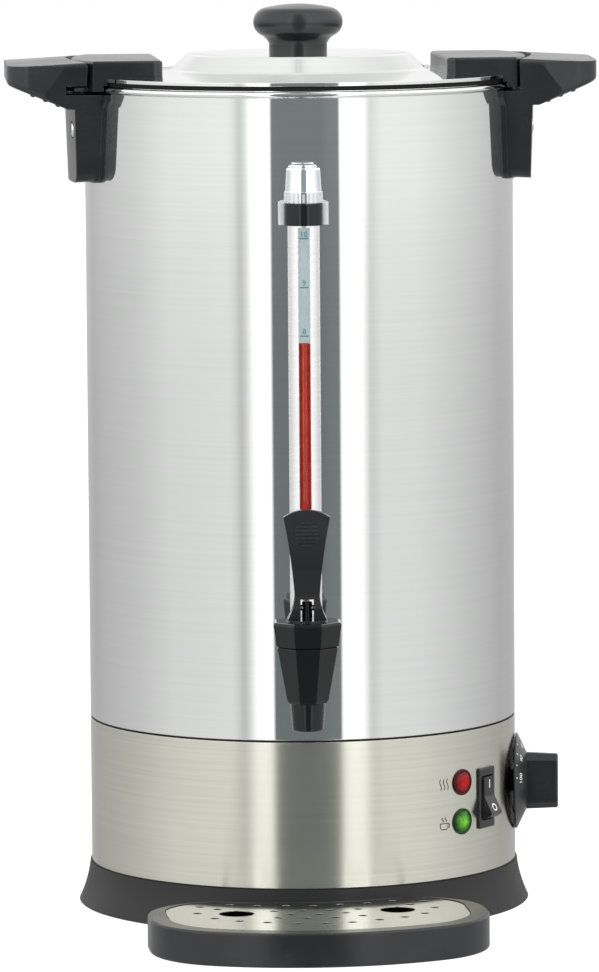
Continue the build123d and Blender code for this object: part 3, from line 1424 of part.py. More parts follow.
# Right handle: grip, hook and leg in one moulding. The groove under the hook takes the
# lid lug's tongue and is open at one side only. It is made on the X axis, then turned.
groove_radius = hook_inside + groove_depth
with BuildPart() as handle:
    with BuildSketch(Plane.XZ):
        Polygon(
            (body_radius / 2, handle_top + cut_margin),
            (handle_tip, handle_top + cut_margin),
            (handle_tip, grip_tip_bottom),
            (leg_face, grip_root),
            (body_radius / 2, grip_root),
            align=None,
        )
    extrude(amount=grip_half + cut_margin, both=True)
    with BuildSketch(Plane.XY.offset(leg_bottom)) as grip_plan:
        Polygon(
            (body_radius / 2, -grip_half),
            (leg_face, -grip_half),
            (handle_tip, -grip_tip_half),
            (handle_tip, grip_tip_half),
            (leg_face, grip_half),
            (body_radius / 2, grip_half),
            align=None,
        )
        fillet(grip_plan.vertices().group_by(Axis.X)[-1], 13)
    extrude(amount=handle_top - leg_bottom + cut_margin, mode=Mode.INTERSECT)
    with BuildSketch(Plane.XY.offset(grip_root)):
        with Locations((leg_face - leg_face_radius, 0)):
            Circle(leg_face_radius)
        with Locations((leg_face, 0)):
            Rectangle(body_radius / 2, 2 * grip_half + cut_margin, mode=Mode.INTERSECT)
    extrude(amount=leg_bottom - grip_root, taper=leg_draft)
    with BuildSketch(Plane.YZ.offset(leg_face)) as grip_front:
        with BuildLine():
            Polyline(
                (-grip_half, handle_end_top),
                (-leg_bottom_half, leg_bottom),
                (leg_bottom_half, leg_bottom),
                (grip_half, handle_end_top),
            )
            ThreePointArc((grip_half, handle_end_top), (0, handle_top), (-grip_half, handle_end_top))
        make_face()
        fillet(grip_front.vertices().group_by(Axis.Y)[0], 8)
        fillet(grip_front.vertices().filter_by(lambda v: abs(v.Y - handle_end_top) < 0.1), 2.5)
    fall = radians(handle_slope)
    extrude(amount=body_radius, dir=(cos(fall), 0, -sin(fall)), both=True, mode=Mode.INTERSECT)
    fillet(edges().filter_by(Axis.Y).group_by(Axis.X)[-1], 3)
    with BuildSketch(Plane.XZ):
        for ridge in range(grip_ridge_count):
            ridge_place = grip_ridge_start + ridge * grip_ridge_pitch
            grip_slope = (grip_tip_bottom - grip_root) / (handle_tip - leg_face)
            ridge_line = grip_root + (ridge_place - leg_face) * grip_slope
            with Locations((ridge_place, ridge_line + grip_ridge_radius - grip_ridge_proud)):
                Circle(grip_ridge_radius)
    extrude(amount=grip_tip_half - 2, both=True)
    with BuildSketch(Plane.XZ):
        section_box(0, leg_inside, leg_bottom - cut_margin, handle_top + cut_margin)
        section_box(0, hook_inside, groove_floor, handle_top + cut_margin)
    revolve(axis=Axis.Z, mode=Mode.SUBTRACT)
    with BuildSketch(Plane.XY.offset(groove_floor)):
        Circle(groove_radius)
        with Locations((0, -groove_end)):
            Rectangle(2 * handle_tip, 2 * handle_tip, align=(Align.CENTER, Align.MIN), mode=Mode.INTERSECT)
    extrude(amount=groove_height, mode=Mode.SUBTRACT)
    with BuildSketch(Plane.YZ.offset(handle_screw_seat)):
        with Locations((0, handle_screw_height)):
            with GridLocations(handle_screw_pitch, 1, 2, 1):
                Circle(handle_screw_head + hole_slack)
    extrude(amount=3 * cut_margin, mode=Mode.SUBTRACT)
    with BuildSketch(Plane.YZ.offset(body_radius / 2)):
        with Locations((0, handle_screw_height)):
            with GridLocations(handle_screw_pitch, 1, 2, 1):
                Circle(handle_screw_radius + hole_slack)
    extrude(amount=body_radius, mode=Mode.SUBTRACT)
with BuildPart() as handle_right:
    add(handle.part, rotation=(0, 0, handle_turn))
handle_right.part.label = "handle_right"
export_step(handle_right.part, "parts/handle_right.step")

with BuildPart() as handle_left:
    add(handle.part, rotation=(0, 0, handle_turn + 180))
handle_left.part.label = "handle_left"
export_step(handle_left.part, "parts/handle_left.step")

# Backing plates: thin mouldings that bed each handle's leg on the round wall.
backing_top = rim_height - 2 * bead_radius - backing_gap
with BuildPart() as backing:
    with BuildSketch(Plane.XY.offset(leg_bottom)):
        Circle(leg_inside)
        Circle(body_radius, mode=Mode.SUBTRACT)
        with Locations((body_radius, 0)):
            Rectangle(body_radius, 3 * grip_half, mode=Mode.INTERSECT)
    extrude(amount=backing_top - leg_bottom)
    with BuildSketch(Plane.YZ.offset(body_radius / 2)) as backing_front:
        Polygon(
            (-backing_top_half, backing_top),
            (-backing_top_half, backing_top - 3),
            (-backing_neck_half, rim_height - backing_neck_drop),
            (-backing_bottom_half, leg_bottom),
            (backing_bottom_half, leg_bottom),
            (backing_neck_half, rim_height - backing_neck_drop),
            (backing_top_half, backing_top - 3),
            (backing_top_half, backing_top),
            align=None,
        )
        fillet(backing_front.vertices().group_by(Axis.Y)[0], 6)
    extrude(amount=body_radius, mode=Mode.INTERSECT)
    with BuildSketch(Plane.YZ.offset(body_radius / 2)):
        with Locations((0, handle_screw_height)):
            with GridLocations(handle_screw_pitch, 1, 2, 1):
                Circle(handle_screw_radius + hole_slack)
    extrude(amount=body_radius, mode=Mode.SUBTRACT)
with BuildPart() as backing_right:
    add(backing.part, rotation=(0, 0, handle_turn))
backing_right.part.label = "backing_right"
export_step(backing_right.part, "parts/backing_right.step")

with BuildPart() as backing_left:
    add(backing.part, rotation=(0, 0, handle_turn + 180))
backing_left.part.label = "backing_left"
export_step(backing_left.part, "parts/backing_left.step")

# Handle screws: domed heads in the leg, shanks through to nuts inside the tank.
nut_face = (wall_inside**2 - (handle_screw_pitch / 2 + handle_nut_flange) ** 2) ** 0.5 - 1.5
with BuildPart() as screw_pair:
    with BuildSketch(Plane.YZ.offset(handle_screw_seat)):
        with Locations((0, handle_screw_height)):
            with GridLocations(handle_screw_pitch, 1, 2, 1):
                Circle(handle_screw_head)
    extrude(amount=handle_screw_dome)
    fillet(faces().sort_by(Axis.X)[-2:].edges(), 0.7 * handle_screw_dome)
    with BuildSketch(Plane.YZ.offset(handle_screw_seat)):
        with Locations((0, handle_screw_height)):
            with GridLocations(handle_screw_pitch, 1, 2, 1):
                Circle(handle_screw_radius)
    extrude(amount=nut_face - 6 - handle_screw_seat)
with BuildPart() as handle_screws:
    add(screw_pair.part, rotation=(0, 0, handle_turn))
    add(screw_pair.part, rotation=(0, 0, handle_turn + 180))
handle_screws.part.label = "handle_screws"
export_step(handle_screws.part, "parts/handle_screws.step")

with BuildPart() as nut_pair:
    with BuildSketch(Plane.YZ.offset(nut_face)):
        with Locations((0, handle_screw_height)):
            with GridLocations(handle_screw_pitch, 1, 2, 1):
                Circle(handle_nut_flange)
    extrude(amount=3 * cut_margin)
    with Locations((0, 0, handle_screw_height)):
        Cylinder(wall_inside, 8 * cut_margin, mode=Mode.INTERSECT)
    with BuildSketch(Plane.YZ.offset(nut_face - 4)):
        with Locations((0, handle_screw_height)):
            with GridLocations(handle_screw_pitch, 1, 2, 1):
                RegularPolygon(handle_nut_across / 2, 6, major_radius=False)
    extrude(amount=4)
    with BuildSketch(Plane.YZ.offset(nut_face - 2 * cut_margin)):
        with Locations((0, handle_screw_height)):
            with GridLocations(handle_screw_pitch, 1, 2, 1):
                Circle(handle_screw_radius)
    extrude(amount=6 * cut_margin, mode=Mode.SUBTRACT)
with BuildPart() as handle_nuts:
    add(nut_pair.part, rotation=(0, 0, handle_turn))
    add(nut_pair.part, rotation=(0, 0, handle_turn + 180))
handle_nuts.part.label = "handle_nuts"
export_step(handle_nuts.part, "parts/handle_nuts.step")

# ==== lid ====

lid_turn = handle_turn + lid_rest_turn
flange_slope = cone_foot_rise / (body_radius - cone_foot_radius)


def flange_top(radius):
    """Height of the flange's upper side at a radius."""
    return lid_edge_height + (body_radius - radius) * flange_slope


# Lid pan: pressed sheet with a dished plateau, a cone, a flat flange with a turned
# edge, and a skirt that keeps it centred in the tank's mouth.
pan_top = [
    (0, lid_seat_height),
    (lid_knob_shaft + 2, lid_seat_height),
    (plateau_radius - 3, plateau_height - 0.3),
    (plateau_radius, plateau_height),
    (plateau_radius + 2.2, plateau_height - 0.7),
    (cone_foot_radius - 1, cone_foot_height + 0.7),
    (cone_foot_radius + 1, flange_top(cone_foot_radius + 1)),
    (body_radius, lid_edge_height),
]
pan_bottom = [(radius, height - sheet) for radius, height in reversed(pan_top)]
with BuildPart() as lid_pan:
    with BuildSketch(Plane.XZ):
        Polygon(*pan_top, *pan_bottom, align=None)
        section_box(body_radius - sheet, body_radius, lid_edge_height - lid_edge, lid_edge_height)
        skirt_top = flange_top(lid_skirt_radius)
        section_box(lid_skirt_radius - sheet, lid_skirt_radius, lid_skirt_bottom, skirt_top)
    revolve(axis=Axis.Z)
    with BuildSketch(Plane.XY.offset(lid_seat_height - 3)):
        Circle(lid_screw_radius + hole_slack)
    extrude(amount=6, mode=Mode.SUBTRACT)
    for side in (lid_turn, lid_turn + 180):
        for twist in (-1, 1):
            turn = radians(side) + twist * asin(lug_screw_half_pitch / lug_screw_distance)
            with Locations((lug_screw_distance * cos(turn), lug_screw_distance * sin(turn), lid_edge_height)):
                Cylinder(lug_screw_radius + hole_slack, 20, mode=Mode.SUBTRACT)
lid_pan.part.label = "lid_pan"
export_step(lid_pan.part, "parts/lid_pan.step")

# Lid seal: black ring round the skirt, over the tank's rim.
seal_outside = body_radius - sheet - seal_gap
seal_top = flange_top(seal_outside) - sheet - seal_gap
with BuildPart() as lid_seal:
    with BuildSketch(Plane.XZ):
        section_box(lid_skirt_radius + seal_gap, seal_outside, rim_height + seal_gap, seal_top)
    revolve(axis=Axis.Z)
lid_seal.part.label = "lid_seal"
export_step(lid_seal.part, "parts/lid_seal.step")

# Lid lugs: black blocks screwed on the flange. The outer wall drops past the tank's rim
# and carries the tongue that locks under the handle's hook.
with BuildPart() as lug:
    with BuildSketch(Plane.XY.offset(lug_bottom)) as lug_plan:
        Circle(lug_outside)
        with Locations((lug_inside, 0)):
            Rectangle(body_radius, 2 * lug_half, align=(Align.MIN, Align.CENTER), mode=Mode.INTERSECT)
        fillet(lug_plan.vertices().group_by(Axis.X)[0], lug_round)
    extrude(amount=lug_top - lug_bottom)
    fillet(faces().sort_by(Axis.Z)[-1].edges(), lug_edge)
    with BuildSketch(Plane.XZ):
        Polygon(
            (0, lug_bottom - 1),
            (lug_wall_inside, lug_bottom - 1),
            (lug_wall_inside, rim_height + 1),
            (body_radius, rim_height + 1),
            (body_radius, lid_edge_height),
            (cone_foot_radius, flange_top(cone_foot_radius)),
            (0, flange_top(cone_foot_radius)),
            align=None,
        )
    revolve(axis=Axis.Z, mode=Mode.SUBTRACT)
    with BuildSketch(Plane.XY.offset(lug_bottom)):
        Circle(tongue_reach)
        Circle(lug_wall_inside, mode=Mode.SUBTRACT)
        reach = 2 * tongue_reach
        Polygon(
            (0, 0),
            (reach * cos(radians(tongue_start)), reach * sin(radians(tongue_start))),
            (reach * cos(radians(tongue_end)), reach * sin(radians(tongue_end))),
            align=None,
            mode=Mode.INTERSECT,
        )
    extrude(amount=tongue_thickness)
    for twist in (-1, 1):
        turn = twist * asin(lug_screw_half_pitch / lug_screw_distance)
        place = (lug_screw_distance * cos(turn), lug_screw_distance * sin(turn))
        with Locations((*place, lid_edge_height - cut_margin)):
            Cylinder(
                lug_screw_radius,
                cut_margin + lug_screw_bite,
                align=(Align.CENTER, Align.CENTER, Align.MIN),
                mode=Mode.SUBTRACT,
            )
with BuildPart() as lug_right:
    add(lug.part, rotation=(0, 0, lid_turn))
lug_right.part.label = "lug_right"
export_step(lug_right.part, "parts/lug_right.step")

with BuildPart() as lug_left:
    add(lug.part, rotation=(0, 0, lid_turn + 180))
lug_left.part.label = "lug_left"
export_step(lug_left.part, "parts/lug_left.step")

# Lug screws: driven up through the flange into the lugs.
screw_top = lid_edge_height + lug_screw_bite
screw_seat = flange_top(lug_screw_distance + lug_screw_head) - sheet
with BuildPart() as lug_screws:
    for side in (lid_turn, lid_turn + 180):
        for twist in (-1, 1):
            turn = radians(side) + twist * asin(lug_screw_half_pitch / lug_screw_distance)
            place = (lug_screw_distance * cos(turn), lug_screw_distance * sin(turn))
            with Locations((*place, screw_seat)):
                downwards = (Align.CENTER, Align.CENTER, Align.MAX)
                Cylinder(lug_screw_head, lug_screw_head_height, align=downwards)
                upwards = (Align.CENTER, Align.CENTER, Align.MIN)
                Cylinder(lug_screw_radius, screw_top - screw_seat, align=upwards)
lug_screws.part.label = "lug_screws"
export_step(lug_screws.part, "parts/lug_screws.step")

# Lid knob: black mushroom with a domed crown, screwed on from below.
knob_top = lid_seat_height + lid_knob_height
knob_waist = lid_seat_height + lid_knob_waist
with BuildPart() as lid_knob:
    with BuildSketch(Plane.XZ):
        with BuildLine():
            Polyline(
                (0, knob_top),
                (0, lid_seat_height),
                (lid_knob_shaft, lid_seat_height),
                (lid_knob_shaft, knob_waist),
            )
            under = ThreePointArc(
                (lid_knob_shaft, knob_waist),
                (lid_knob_shaft + 1.4, knob_waist + 2.4),
                (lid_knob_shaft + 4.2, knob_waist + 4.6),
            )
            head = ThreePointArc(
                under @ 1,
                (lid_knob_head, lid_seat_height + lid_knob_rim),
                (lid_knob_crown, knob_top - lid_knob_crown_drop),
            )
            Spline(head @ 1, (0, knob_top), tangents=(head % 1, (-1, 0)))
        make_face()
    revolve(axis=Axis.Z)
    with BuildSketch(Plane.XY.offset(lid_seat_height)):
        Circle(lid_screw_radius)
    extrude(amount=lid_screw_bite, mode=Mode.SUBTRACT)
lid_knob.part.label = "lid_knob"
export_step(lid_knob.part, "parts/lid_knob.step")

# Knob washer and screw under the lid's middle.
washer_top = lid_seat_height - sheet
washer_bottom = washer_top - lid_washer_thickness
with BuildPart() as knob_washer:
    with BuildSketch(Plane.XY.offset(washer_bottom)):
        Circle(lid_washer_radius)
        Circle(lid_screw_radius, mode=Mode.SUBTRACT)
    extrude(amount=lid_washer_thickness)
knob_washer.part.label = "knob_washer"
export_step(knob_washer.part, "parts/knob_washer.step")

with BuildPart() as knob_screw:
    with BuildSketch(Plane.XY.offset(washer_bottom - lid_screw_head_height)):
        Circle(lid_screw_head)
    extrude(amount=lid_screw_head_height)
    fillet(faces().sort_by(Axis.Z)[0].edges(), 1.5)
    with BuildSketch(Plane.XY.offset(washer_bottom)):
        Circle(lid_screw_radius)
    extrude(amount=lid_seat_height + lid_screw_bite - washer_bottom)
knob_screw.part.label = "knob_screw"
export_step(knob_screw.part, "parts/knob_screw.step")
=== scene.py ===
import math

import bmesh
import bpy
from mathutils import Matrix, Vector


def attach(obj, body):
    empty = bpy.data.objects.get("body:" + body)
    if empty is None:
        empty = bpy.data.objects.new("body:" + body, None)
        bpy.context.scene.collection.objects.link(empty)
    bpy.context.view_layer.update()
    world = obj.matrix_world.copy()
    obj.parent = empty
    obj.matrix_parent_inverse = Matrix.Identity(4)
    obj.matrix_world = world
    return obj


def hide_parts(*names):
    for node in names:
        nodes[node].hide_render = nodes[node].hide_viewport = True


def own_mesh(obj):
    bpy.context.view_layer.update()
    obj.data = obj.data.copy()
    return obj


# Hot water urn. Lengths in the sections are in mm, objects are in metres. Angles on the
# wall are counted from the front towards the thermostat's side.

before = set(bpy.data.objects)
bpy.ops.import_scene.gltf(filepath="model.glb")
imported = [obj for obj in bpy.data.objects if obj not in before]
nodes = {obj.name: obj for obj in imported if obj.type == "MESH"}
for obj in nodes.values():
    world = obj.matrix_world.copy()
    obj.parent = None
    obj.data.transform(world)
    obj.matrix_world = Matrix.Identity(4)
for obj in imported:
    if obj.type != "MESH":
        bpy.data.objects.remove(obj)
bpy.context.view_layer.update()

# ==== tank ====
# Stainless steel sheet, rolled and welded, with a flat floor. The rim is rolled over a
# wire, and the foot is rolled in by one sheet so that it stands inside the base band.

tank_radius = 113.0
tank_sheet = 0.8
tank_foot = 88.0
tank_seam = 100.0
tank_floor = 108.0
rim_wire = (112.75, 433.65, 1.65)  # middle of the rolled rim and its radius
foot_round = 0.6
floor_round = 3.0
tank_tones = ((0.785, 0.795, 0.785), (0.815, 0.825, 0.815))


def arc(across, up, radius, start, end, steps=10):
    """Points of an arc in an outline, from one angle to the other in degrees."""
    turns = [math.radians(start + (end - start) * step / steps) for step in range(steps + 1)]
    return [(across + radius * math.cos(turn), up + radius * math.sin(turn)) for turn in turns]


def as_piece(name, shape, crease=32):
    """Makes an object in metres from a mesh in mm, smooth apart from its sharp edges."""
    bmesh.ops.recalc_face_normals(shape, faces=shape.faces)
    bmesh.ops.scale(shape, vec=(0.001, 0.001, 0.001), verts=shape.verts)
    mesh = bpy.data.meshes.new(name)
    shape.to_mesh(mesh)
    shape.free()
    mesh.shade_smooth()
    mesh.set_sharp_from_angle(angle=math.radians(crease))
    piece = bpy.data.objects.new(name, mesh)
    bpy.context.scene.collection.objects.link(piece)
    return piece


def turned(name, outline, steps, place=Matrix(), crease=32):
    """Turns a closed outline of (radius, height) about the upright axis of a place."""
    shape = bmesh.new()
    rings = []
    for radius, height in outline:
        if radius:
            turns = [math.tau * step / steps for step in range(steps)]
            spots = [(radius * math.cos(turn), radius * math.sin(turn), height) for turn in turns]
            rings.append([shape.verts.new(place @ Vector(spot)) for spot in spots])
        else:
            rings.append([shape.verts.new(place @ Vector((0, 0, height)))] * steps)
    for ring, following in zip(rings, rings[1:] + rings[:1]):
        for step in range(steps):
            after = (step + 1) % steps
            corners = dict.fromkeys((ring[step], ring[after], following[after], following[step]))
            if len(corners) > 2:
                shape.faces.new(list(corners))
    return as_piece(name, shape, crease)


def put(tree, kind, sockets=None, **settings):
    """Adds a node. Each named socket gets a value, or the output that feeds it."""
    added = tree.nodes.new("ShaderNode" + kind)
    for name, value in settings.items():
        setattr(added, name, value)
    for name, value in (sockets or {}).items():
        if isinstance(value, bpy.types.NodeSocket):
            tree.links.new(value, added.inputs[name])
        else:
            added.inputs[name].default_value = value
    return added


def new_group(name, inputs, outputs):
    """An effect to be shared by materials, with its named number inputs."""
    group = bpy.data.node_groups.new(name, "ShaderNodeTree")
    for label, value in inputs.items():
        socket = group.interface.new_socket(label, in_out="INPUT", socket_type="NodeSocketFloat")
        socket.default_value = value
    for label, kind in outputs.items():
        group.interface.new_socket(label, in_out="OUTPUT", socket_type="NodeSocket" + kind)
    given = group.nodes.new("NodeGroupInput").outputs
    gives = group.nodes.new("NodeGroupOutput").inputs
    return group, given, gives


# Rolled sheet: fine lines round the piece and slow clouds in the polish.
rolled_sheet, given, gives = new_group(
    "rolled_sheet", {"Lines": 900.0, "Clouds": 9.0}, {"Cloud": "Float", "Relief": "Float"}
)
spot = put(rolled_sheet, "TexCoord").outputs["Object"]
fine = put(rolled_sheet, "CombineXYZ", {"X": 6.0, "Y": 6.0, "Z": given["Lines"]})
stretched = put(rolled_sheet, "VectorMath", {0: spot, 1: fine.outputs[0]}, operation="MULTIPLY")
lines = put(
    rolled_sheet, "TexNoise", {"Vector": stretched.outputs[0], "Scale": 1.0, "Detail": 4.0}
)
clouds = put(rolled_sheet, "TexNoise", {"Vector": spot, "Scale": given["Clouds"], "Detail": 3.0})
both = put(
    rolled_sheet, "Math", {0: lines.outputs["Fac"], 1: clouds.outputs["Fac"]}, operation="ADD"
)
half = put(rolled_sheet, "Math", {0: both.outputs[0], 1: 0.5}, operation="MULTIPLY")
rolled_sheet.links.new(half.outputs[0], gives["Cloud"])
rolled_sheet.links.new(lines.outputs["Fac"], gives["Relief"])

# Soft edge: rounds the light on sharp corners, and says which edges get a painted highlight in a
# material's colour.
soft_edge, given, gives = new_group(
    "soft_edge", {"Radius": 0.0004}, {"Normal": "Vector", "Edge": "Float"}
)
rounded = put(soft_edge, "Bevel", {"Radius": given["Radius"]}, samples=4)
flat = put(soft_edge, "NewGeometry").outputs["Normal"]
agree = put(soft_edge, "VectorMath", {0: rounded.outputs[0], 1: flat}, operation="DOT_PRODUCT")
turned_away = put(
    soft_edge, "MapRange", {"Value": agree.outputs["Value"], "From Min": 1.0, "From Max": 0.8}
)
soft_edge.links.new(rounded.outputs[0], gives["Normal"])
soft_edge.links.new(turned_away.outputs[0], gives["Edge"])


def surface(name, tones, gloss, pattern, depth, metallic=0.0, edge=0.0004, painted_edge_highlight=0.0, **numbers):
    """A material whose colour, gloss and relief follow a pattern, with softened edges.

    tones are its darker and lighter colour, gloss its least and greatest roughness,
    depth its relief in metres, and painted_edge_highlight how far the edges are painted lighter, a
    painted highlight.
    """
    material = bpy.data.materials.new(name)
    material.use_nodes = True
    tree = material.node_tree
    shader = tree.nodes["Principled BSDF"]
    shader.inputs["Metallic"].default_value = metallic
    for label, value in numbers.items():
        shader.inputs[label.replace("_", " ")].default_value = value
    corner = put(tree, "Group", {"Radius": edge}, node_tree=soft_edge)
    # Painted highlight: the edges' colour is pushed towards a tone lighter than the lighter tone.
    edge_highlight = put(tree, "Math", {0: corner.outputs["Edge"], 1: painted_edge_highlight}, operation="MULTIPLY")
    mixed = put(tree, "Math", {0: pattern["Cloud"](tree), 1: edge_highlight.outputs[0]}, operation="ADD")
    tint = put(tree, "ValToRGB", {"Fac": mixed.outputs[0]})
    for stop, place, tone in zip(tint.color_ramp.elements, (0.35, 0.65), tones):
        stop.position = place
        stop.color = (*tone, 1)
    if painted_edge_highlight:
        bright = tint.color_ramp.elements.new(1.0)
        bright.color = (*[min(1.0, 2.2 * part + 0.01) for part in tones[1]], 1)
    glossiest, dullest = gloss
    shine = put(
        tree,
        "MapRange",
        {
            "Value": mixed.outputs[0],
            "From Min": 0.3,
            "From Max": 0.7,
            "To Min": glossiest,
            "To Max": dullest,
        },
    )
    relief = put(
        tree,
        "Bump",
        {"Height": pattern["Relief"](tree), "Distance": depth, "Normal": corner.outputs["Normal"]},
    )
    tree.links.new(tint.outputs["Color"], shader.inputs["Base Color"])
    tree.links.new(shine.outputs[0], shader.inputs["Roughness"])
    tree.links.new(relief.outputs[0], shader.inputs["Normal"])
    return material


def patterned(group, **inputs):
    """A shared effect with a material's own numbers, placed once in its node tree."""

    def output(label):
        def find(tree):
            placed = tree.nodes.get(group.name)
            if not placed:
                placed = put(tree, "Group", inputs, node_tree=group)
                placed.name = group.name
            return placed.outputs[label]

        return find

    return {label: output(label) for label in ("Cloud", "Relief")}


def dress(material, *names):
    """Gives the material to pieces that are shown as the frame has them."""
    for name in names:
        nodes[name].data.materials.clear()
        nodes[name].data.materials.append(material)


polished_steel = surface(
    "polished_steel",
    tank_tones,
    gloss=(0.02, 0.05),
    pattern=patterned(rolled_sheet, Lines=700.0, Clouds=7.0),
    depth=0.0000015,
    metallic=1.0,
)

wall_inside = tank_radius - tank_sheet
wire_across, wire_up, wire_radius = rim_wire
tank_outline = [
    (wall_inside - tank_sheet, tank_foot),
    (wall_inside - 0.2, tank_foot),
    (wall_inside, tank_foot + 0.2),
    (wall_inside, tank_seam + 0.1),
    (wall_inside + 0.15, tank_seam),
    *arc(tank_radius - foot_round, tank_seam + foot_round, foot_round, -90, 0, 6),
    *arc(wire_across, wire_up, wire_radius, -80, 250, 44),
    (wall_inside, wire_up - 1.6),
    (wall_inside, tank_floor + floor_round),
    *arc(wall_inside - floor_round, tank_floor + floor_round, floor_round, 0, -90, 8),
    (0, tank_floor),
    (0, tank_floor - tank_sheet),
    (wall_inside - tank_sheet, tank_floor - tank_sheet),
]
tank_shell = turned("tank_shell", tank_outline, 360)
tank_shell.data.materials.append(polished_steel)
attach(tank_shell, "urn")
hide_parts("tank")

# ==== base band ====
# The same sheet with a satin face, in a hoop under the tank that carries the controls.
# Two small pictures are printed beside the lamps: heating up, and keeping warm.

print_lift = 0.04
print_line = 0.5
picture_angle = 39.5
picture_heights = (72.6, 51.9)
wave_swing = 0.55

satin_steel = surface(
    "satin_steel",
    ((0.585, 0.575, 0.510), (0.620, 0.610, 0.545)),
    gloss=(0.20, 0.26),
    pattern=patterned(rolled_sheet, Lines=1400.0, Clouds=14.0),
    depth=0.000003,
    metallic=1.0,
    Anisotropic=0.9,
    Anisotropic_Rotation=0.25,
)
# Ground round the hoop, so its gloss is drawn out upright.
ground = put(satin_steel.node_tree, "Tangent", direction_type="RADIAL", axis="Z")
satin_steel.node_tree.links.new(
    ground.outputs[0], satin_steel.node_tree.nodes["Principled BSDF"].inputs["Tangent"]
)
dress(satin_steel, "base_band")

# Print: thin ink whose surface breaks up a little.
ink_film, given, gives = new_group(
    "ink_film", {"Grain": 4000.0, "Patch": 300.0}, {"Cloud": "Float", "Relief": "Float"}
)
spot = put(ink_film, "TexCoord").outputs["Object"]
grains = put(ink_film, "TexNoise", {"Vector": spot, "Scale": given["Grain"], "Detail": 2.0})
patches = put(ink_film, "TexNoise", {"Vector": spot, "Scale": given["Patch"], "Detail": 3.0})
ink_film.links.new(patches.outputs["Fac"], gives["Cloud"])
ink_film.links.new(grains.outputs["Fac"], gives["Relief"])


def ink(name, tones):
    """Printed colour: matt, with slightly uneven cover."""
    return surface(
        name,
        tones,
        gloss=(0.45, 0.65),
        pattern=patterned(ink_film),
        depth=0.000004,
        edge=0.00002,
        Specular_IOR_Level=0.3,
    )


dark_ink = ink("dark_ink", ((0.03, 0.03, 0.028), (0.06, 0.06, 0.055)))


def stroke(shape, points, width, lay):
    """Draws one line of a print; lay says where a point of the drawing lies."""
    sides = []
    for index, point in enumerate(points):
        before = points[max(index - 1, 0)]
        after = points[min(index + 1, len(points) - 1)]
        along = Vector((after[0] - before[0], after[1] - before[1])).normalized()
        across = Vector((-along.y, along.x)) * width / 2
        here = Vector(point)
        sides.append([shape.verts.new(lay(*(here + side))) for side in (across, -across)])
    for (left, right), (next_left, next_right) in zip(sides, sides[1:]):
        shape.faces.new((left, right, next_right, next_left))


def on_wall(angle, height, radius):
    """Says where a drawing's point lies on the round wall."""

    def lay(across, up):
        turn = math.radians(angle) + across / radius
        return (radius * math.sin(turn), -radius * math.cos(turn), height + up)

    return lay


def wave(across, low, high):
    """A line of rising heat."""
    steps = 14
    rise = (high - low) / steps
    return [
        (across + wave_swing * math.sin(math.tau * step / steps), low + step * rise)
        for step in range(steps + 1)
    ]


pictures = bmesh.new()
lay = on_wall(picture_angle, picture_heights[0], tank_radius + print_lift)
for across in (-2.4, 0.0, 2.4):
    stroke(pictures, wave(across, -2.9, 2.9), print_line, lay)
lay = on_wall(picture_angle, picture_heights[1], tank_radius + print_lift)
cup = [(-2.8, 0.2), (-2.5, -2.0), (-1.9, -2.9), (1.9, -2.9), (2.5, -2.0), (2.8, 0.2)]
stroke(pictures, cup, print_line, lay)
stroke(pictures, [(-3.0, 0.2), (3.0, 0.2)], print_line, lay)
stroke(pictures, arc(2.7, -1.1, 1.1, 75, -75), print_line, lay)
for across in (-1.1, 1.1):
    stroke(pictures, wave(across, 1.0, 3.4), print_line, lay)
lamp_pictures = as_piece("lamp_pictures", pictures)
lamp_pictures.data.materials.append(dark_ink)
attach(lamp_pictures, "urn")

# ==== base ring and feet ====
# A dull black moulding flared towards the table, with four rubber feet pressed into its
# flange. Thin black seals close the two joints of the base; their near-black also paints the shade
# in the joints' gaps.

# Moulding: the tool's fine grain, and slow flow marks in the gloss.
moulding, given, gives = new_group(
    "moulding", {"Grain": 1500.0, "Flow": 25.0}, {"Cloud": "Float", "Relief": "Float"}
)
spot = put(moulding, "TexCoord").outputs["Object"]
grain = put(moulding, "TexNoise", {"Vector": spot, "Scale": given["Grain"], "Detail": 3.0})
flow = put(
    moulding,
    "TexNoise",
    {"Vector": spot, "Scale": given["Flow"], "Detail": 4.0, "Distortion": 0.6},
)
moulding.links.new(flow.outputs["Fac"], gives["Cloud"])
moulding.links.new(grain.outputs["Fac"], gives["Relief"])

rubber = surface(
    "rubber",
    ((0.018, 0.018, 0.018), (0.028, 0.028, 0.027)),
    gloss=(0.6, 0.8),
    pattern=patterned(moulding, Grain=900.0, Flow=60.0),
    depth=0.00006,
    edge=0.0004,
)
# Near black and darker than the feet's rubber: painted shade, so that the seals show as the shaded
# gaps of the joints.
seal_and_painted_shade = surface(
    "seal_and_painted_shade",
    ((0.003, 0.003, 0.003), (0.006, 0.006, 0.006)),
    gloss=(0.5, 0.7),
    pattern=patterned(moulding, Grain=900.0, Flow=60.0),
    depth=0.00002,
    edge=0.0002,
    Specular_IOR_Level=0.2,
)
# A darker copy of the satin black for the ring alone, because its flare faces the light from
# above: painted shade.
ring_black_painted_shade = surface(
    "ring_black_painted_shade",
    ((0.006, 0.006, 0.006), (0.010, 0.010, 0.010)),
    gloss=(0.42, 0.55),
    pattern=patterned(moulding, Grain=1500.0, Flow=25.0),
    depth=0.00003,
    edge=0.0005,
    painted_edge_highlight=0.2,
    Specular_IOR_Level=0.35,
)
dress(ring_black_painted_shade, "base_ring")
dress(rubber, "rubber_feet")

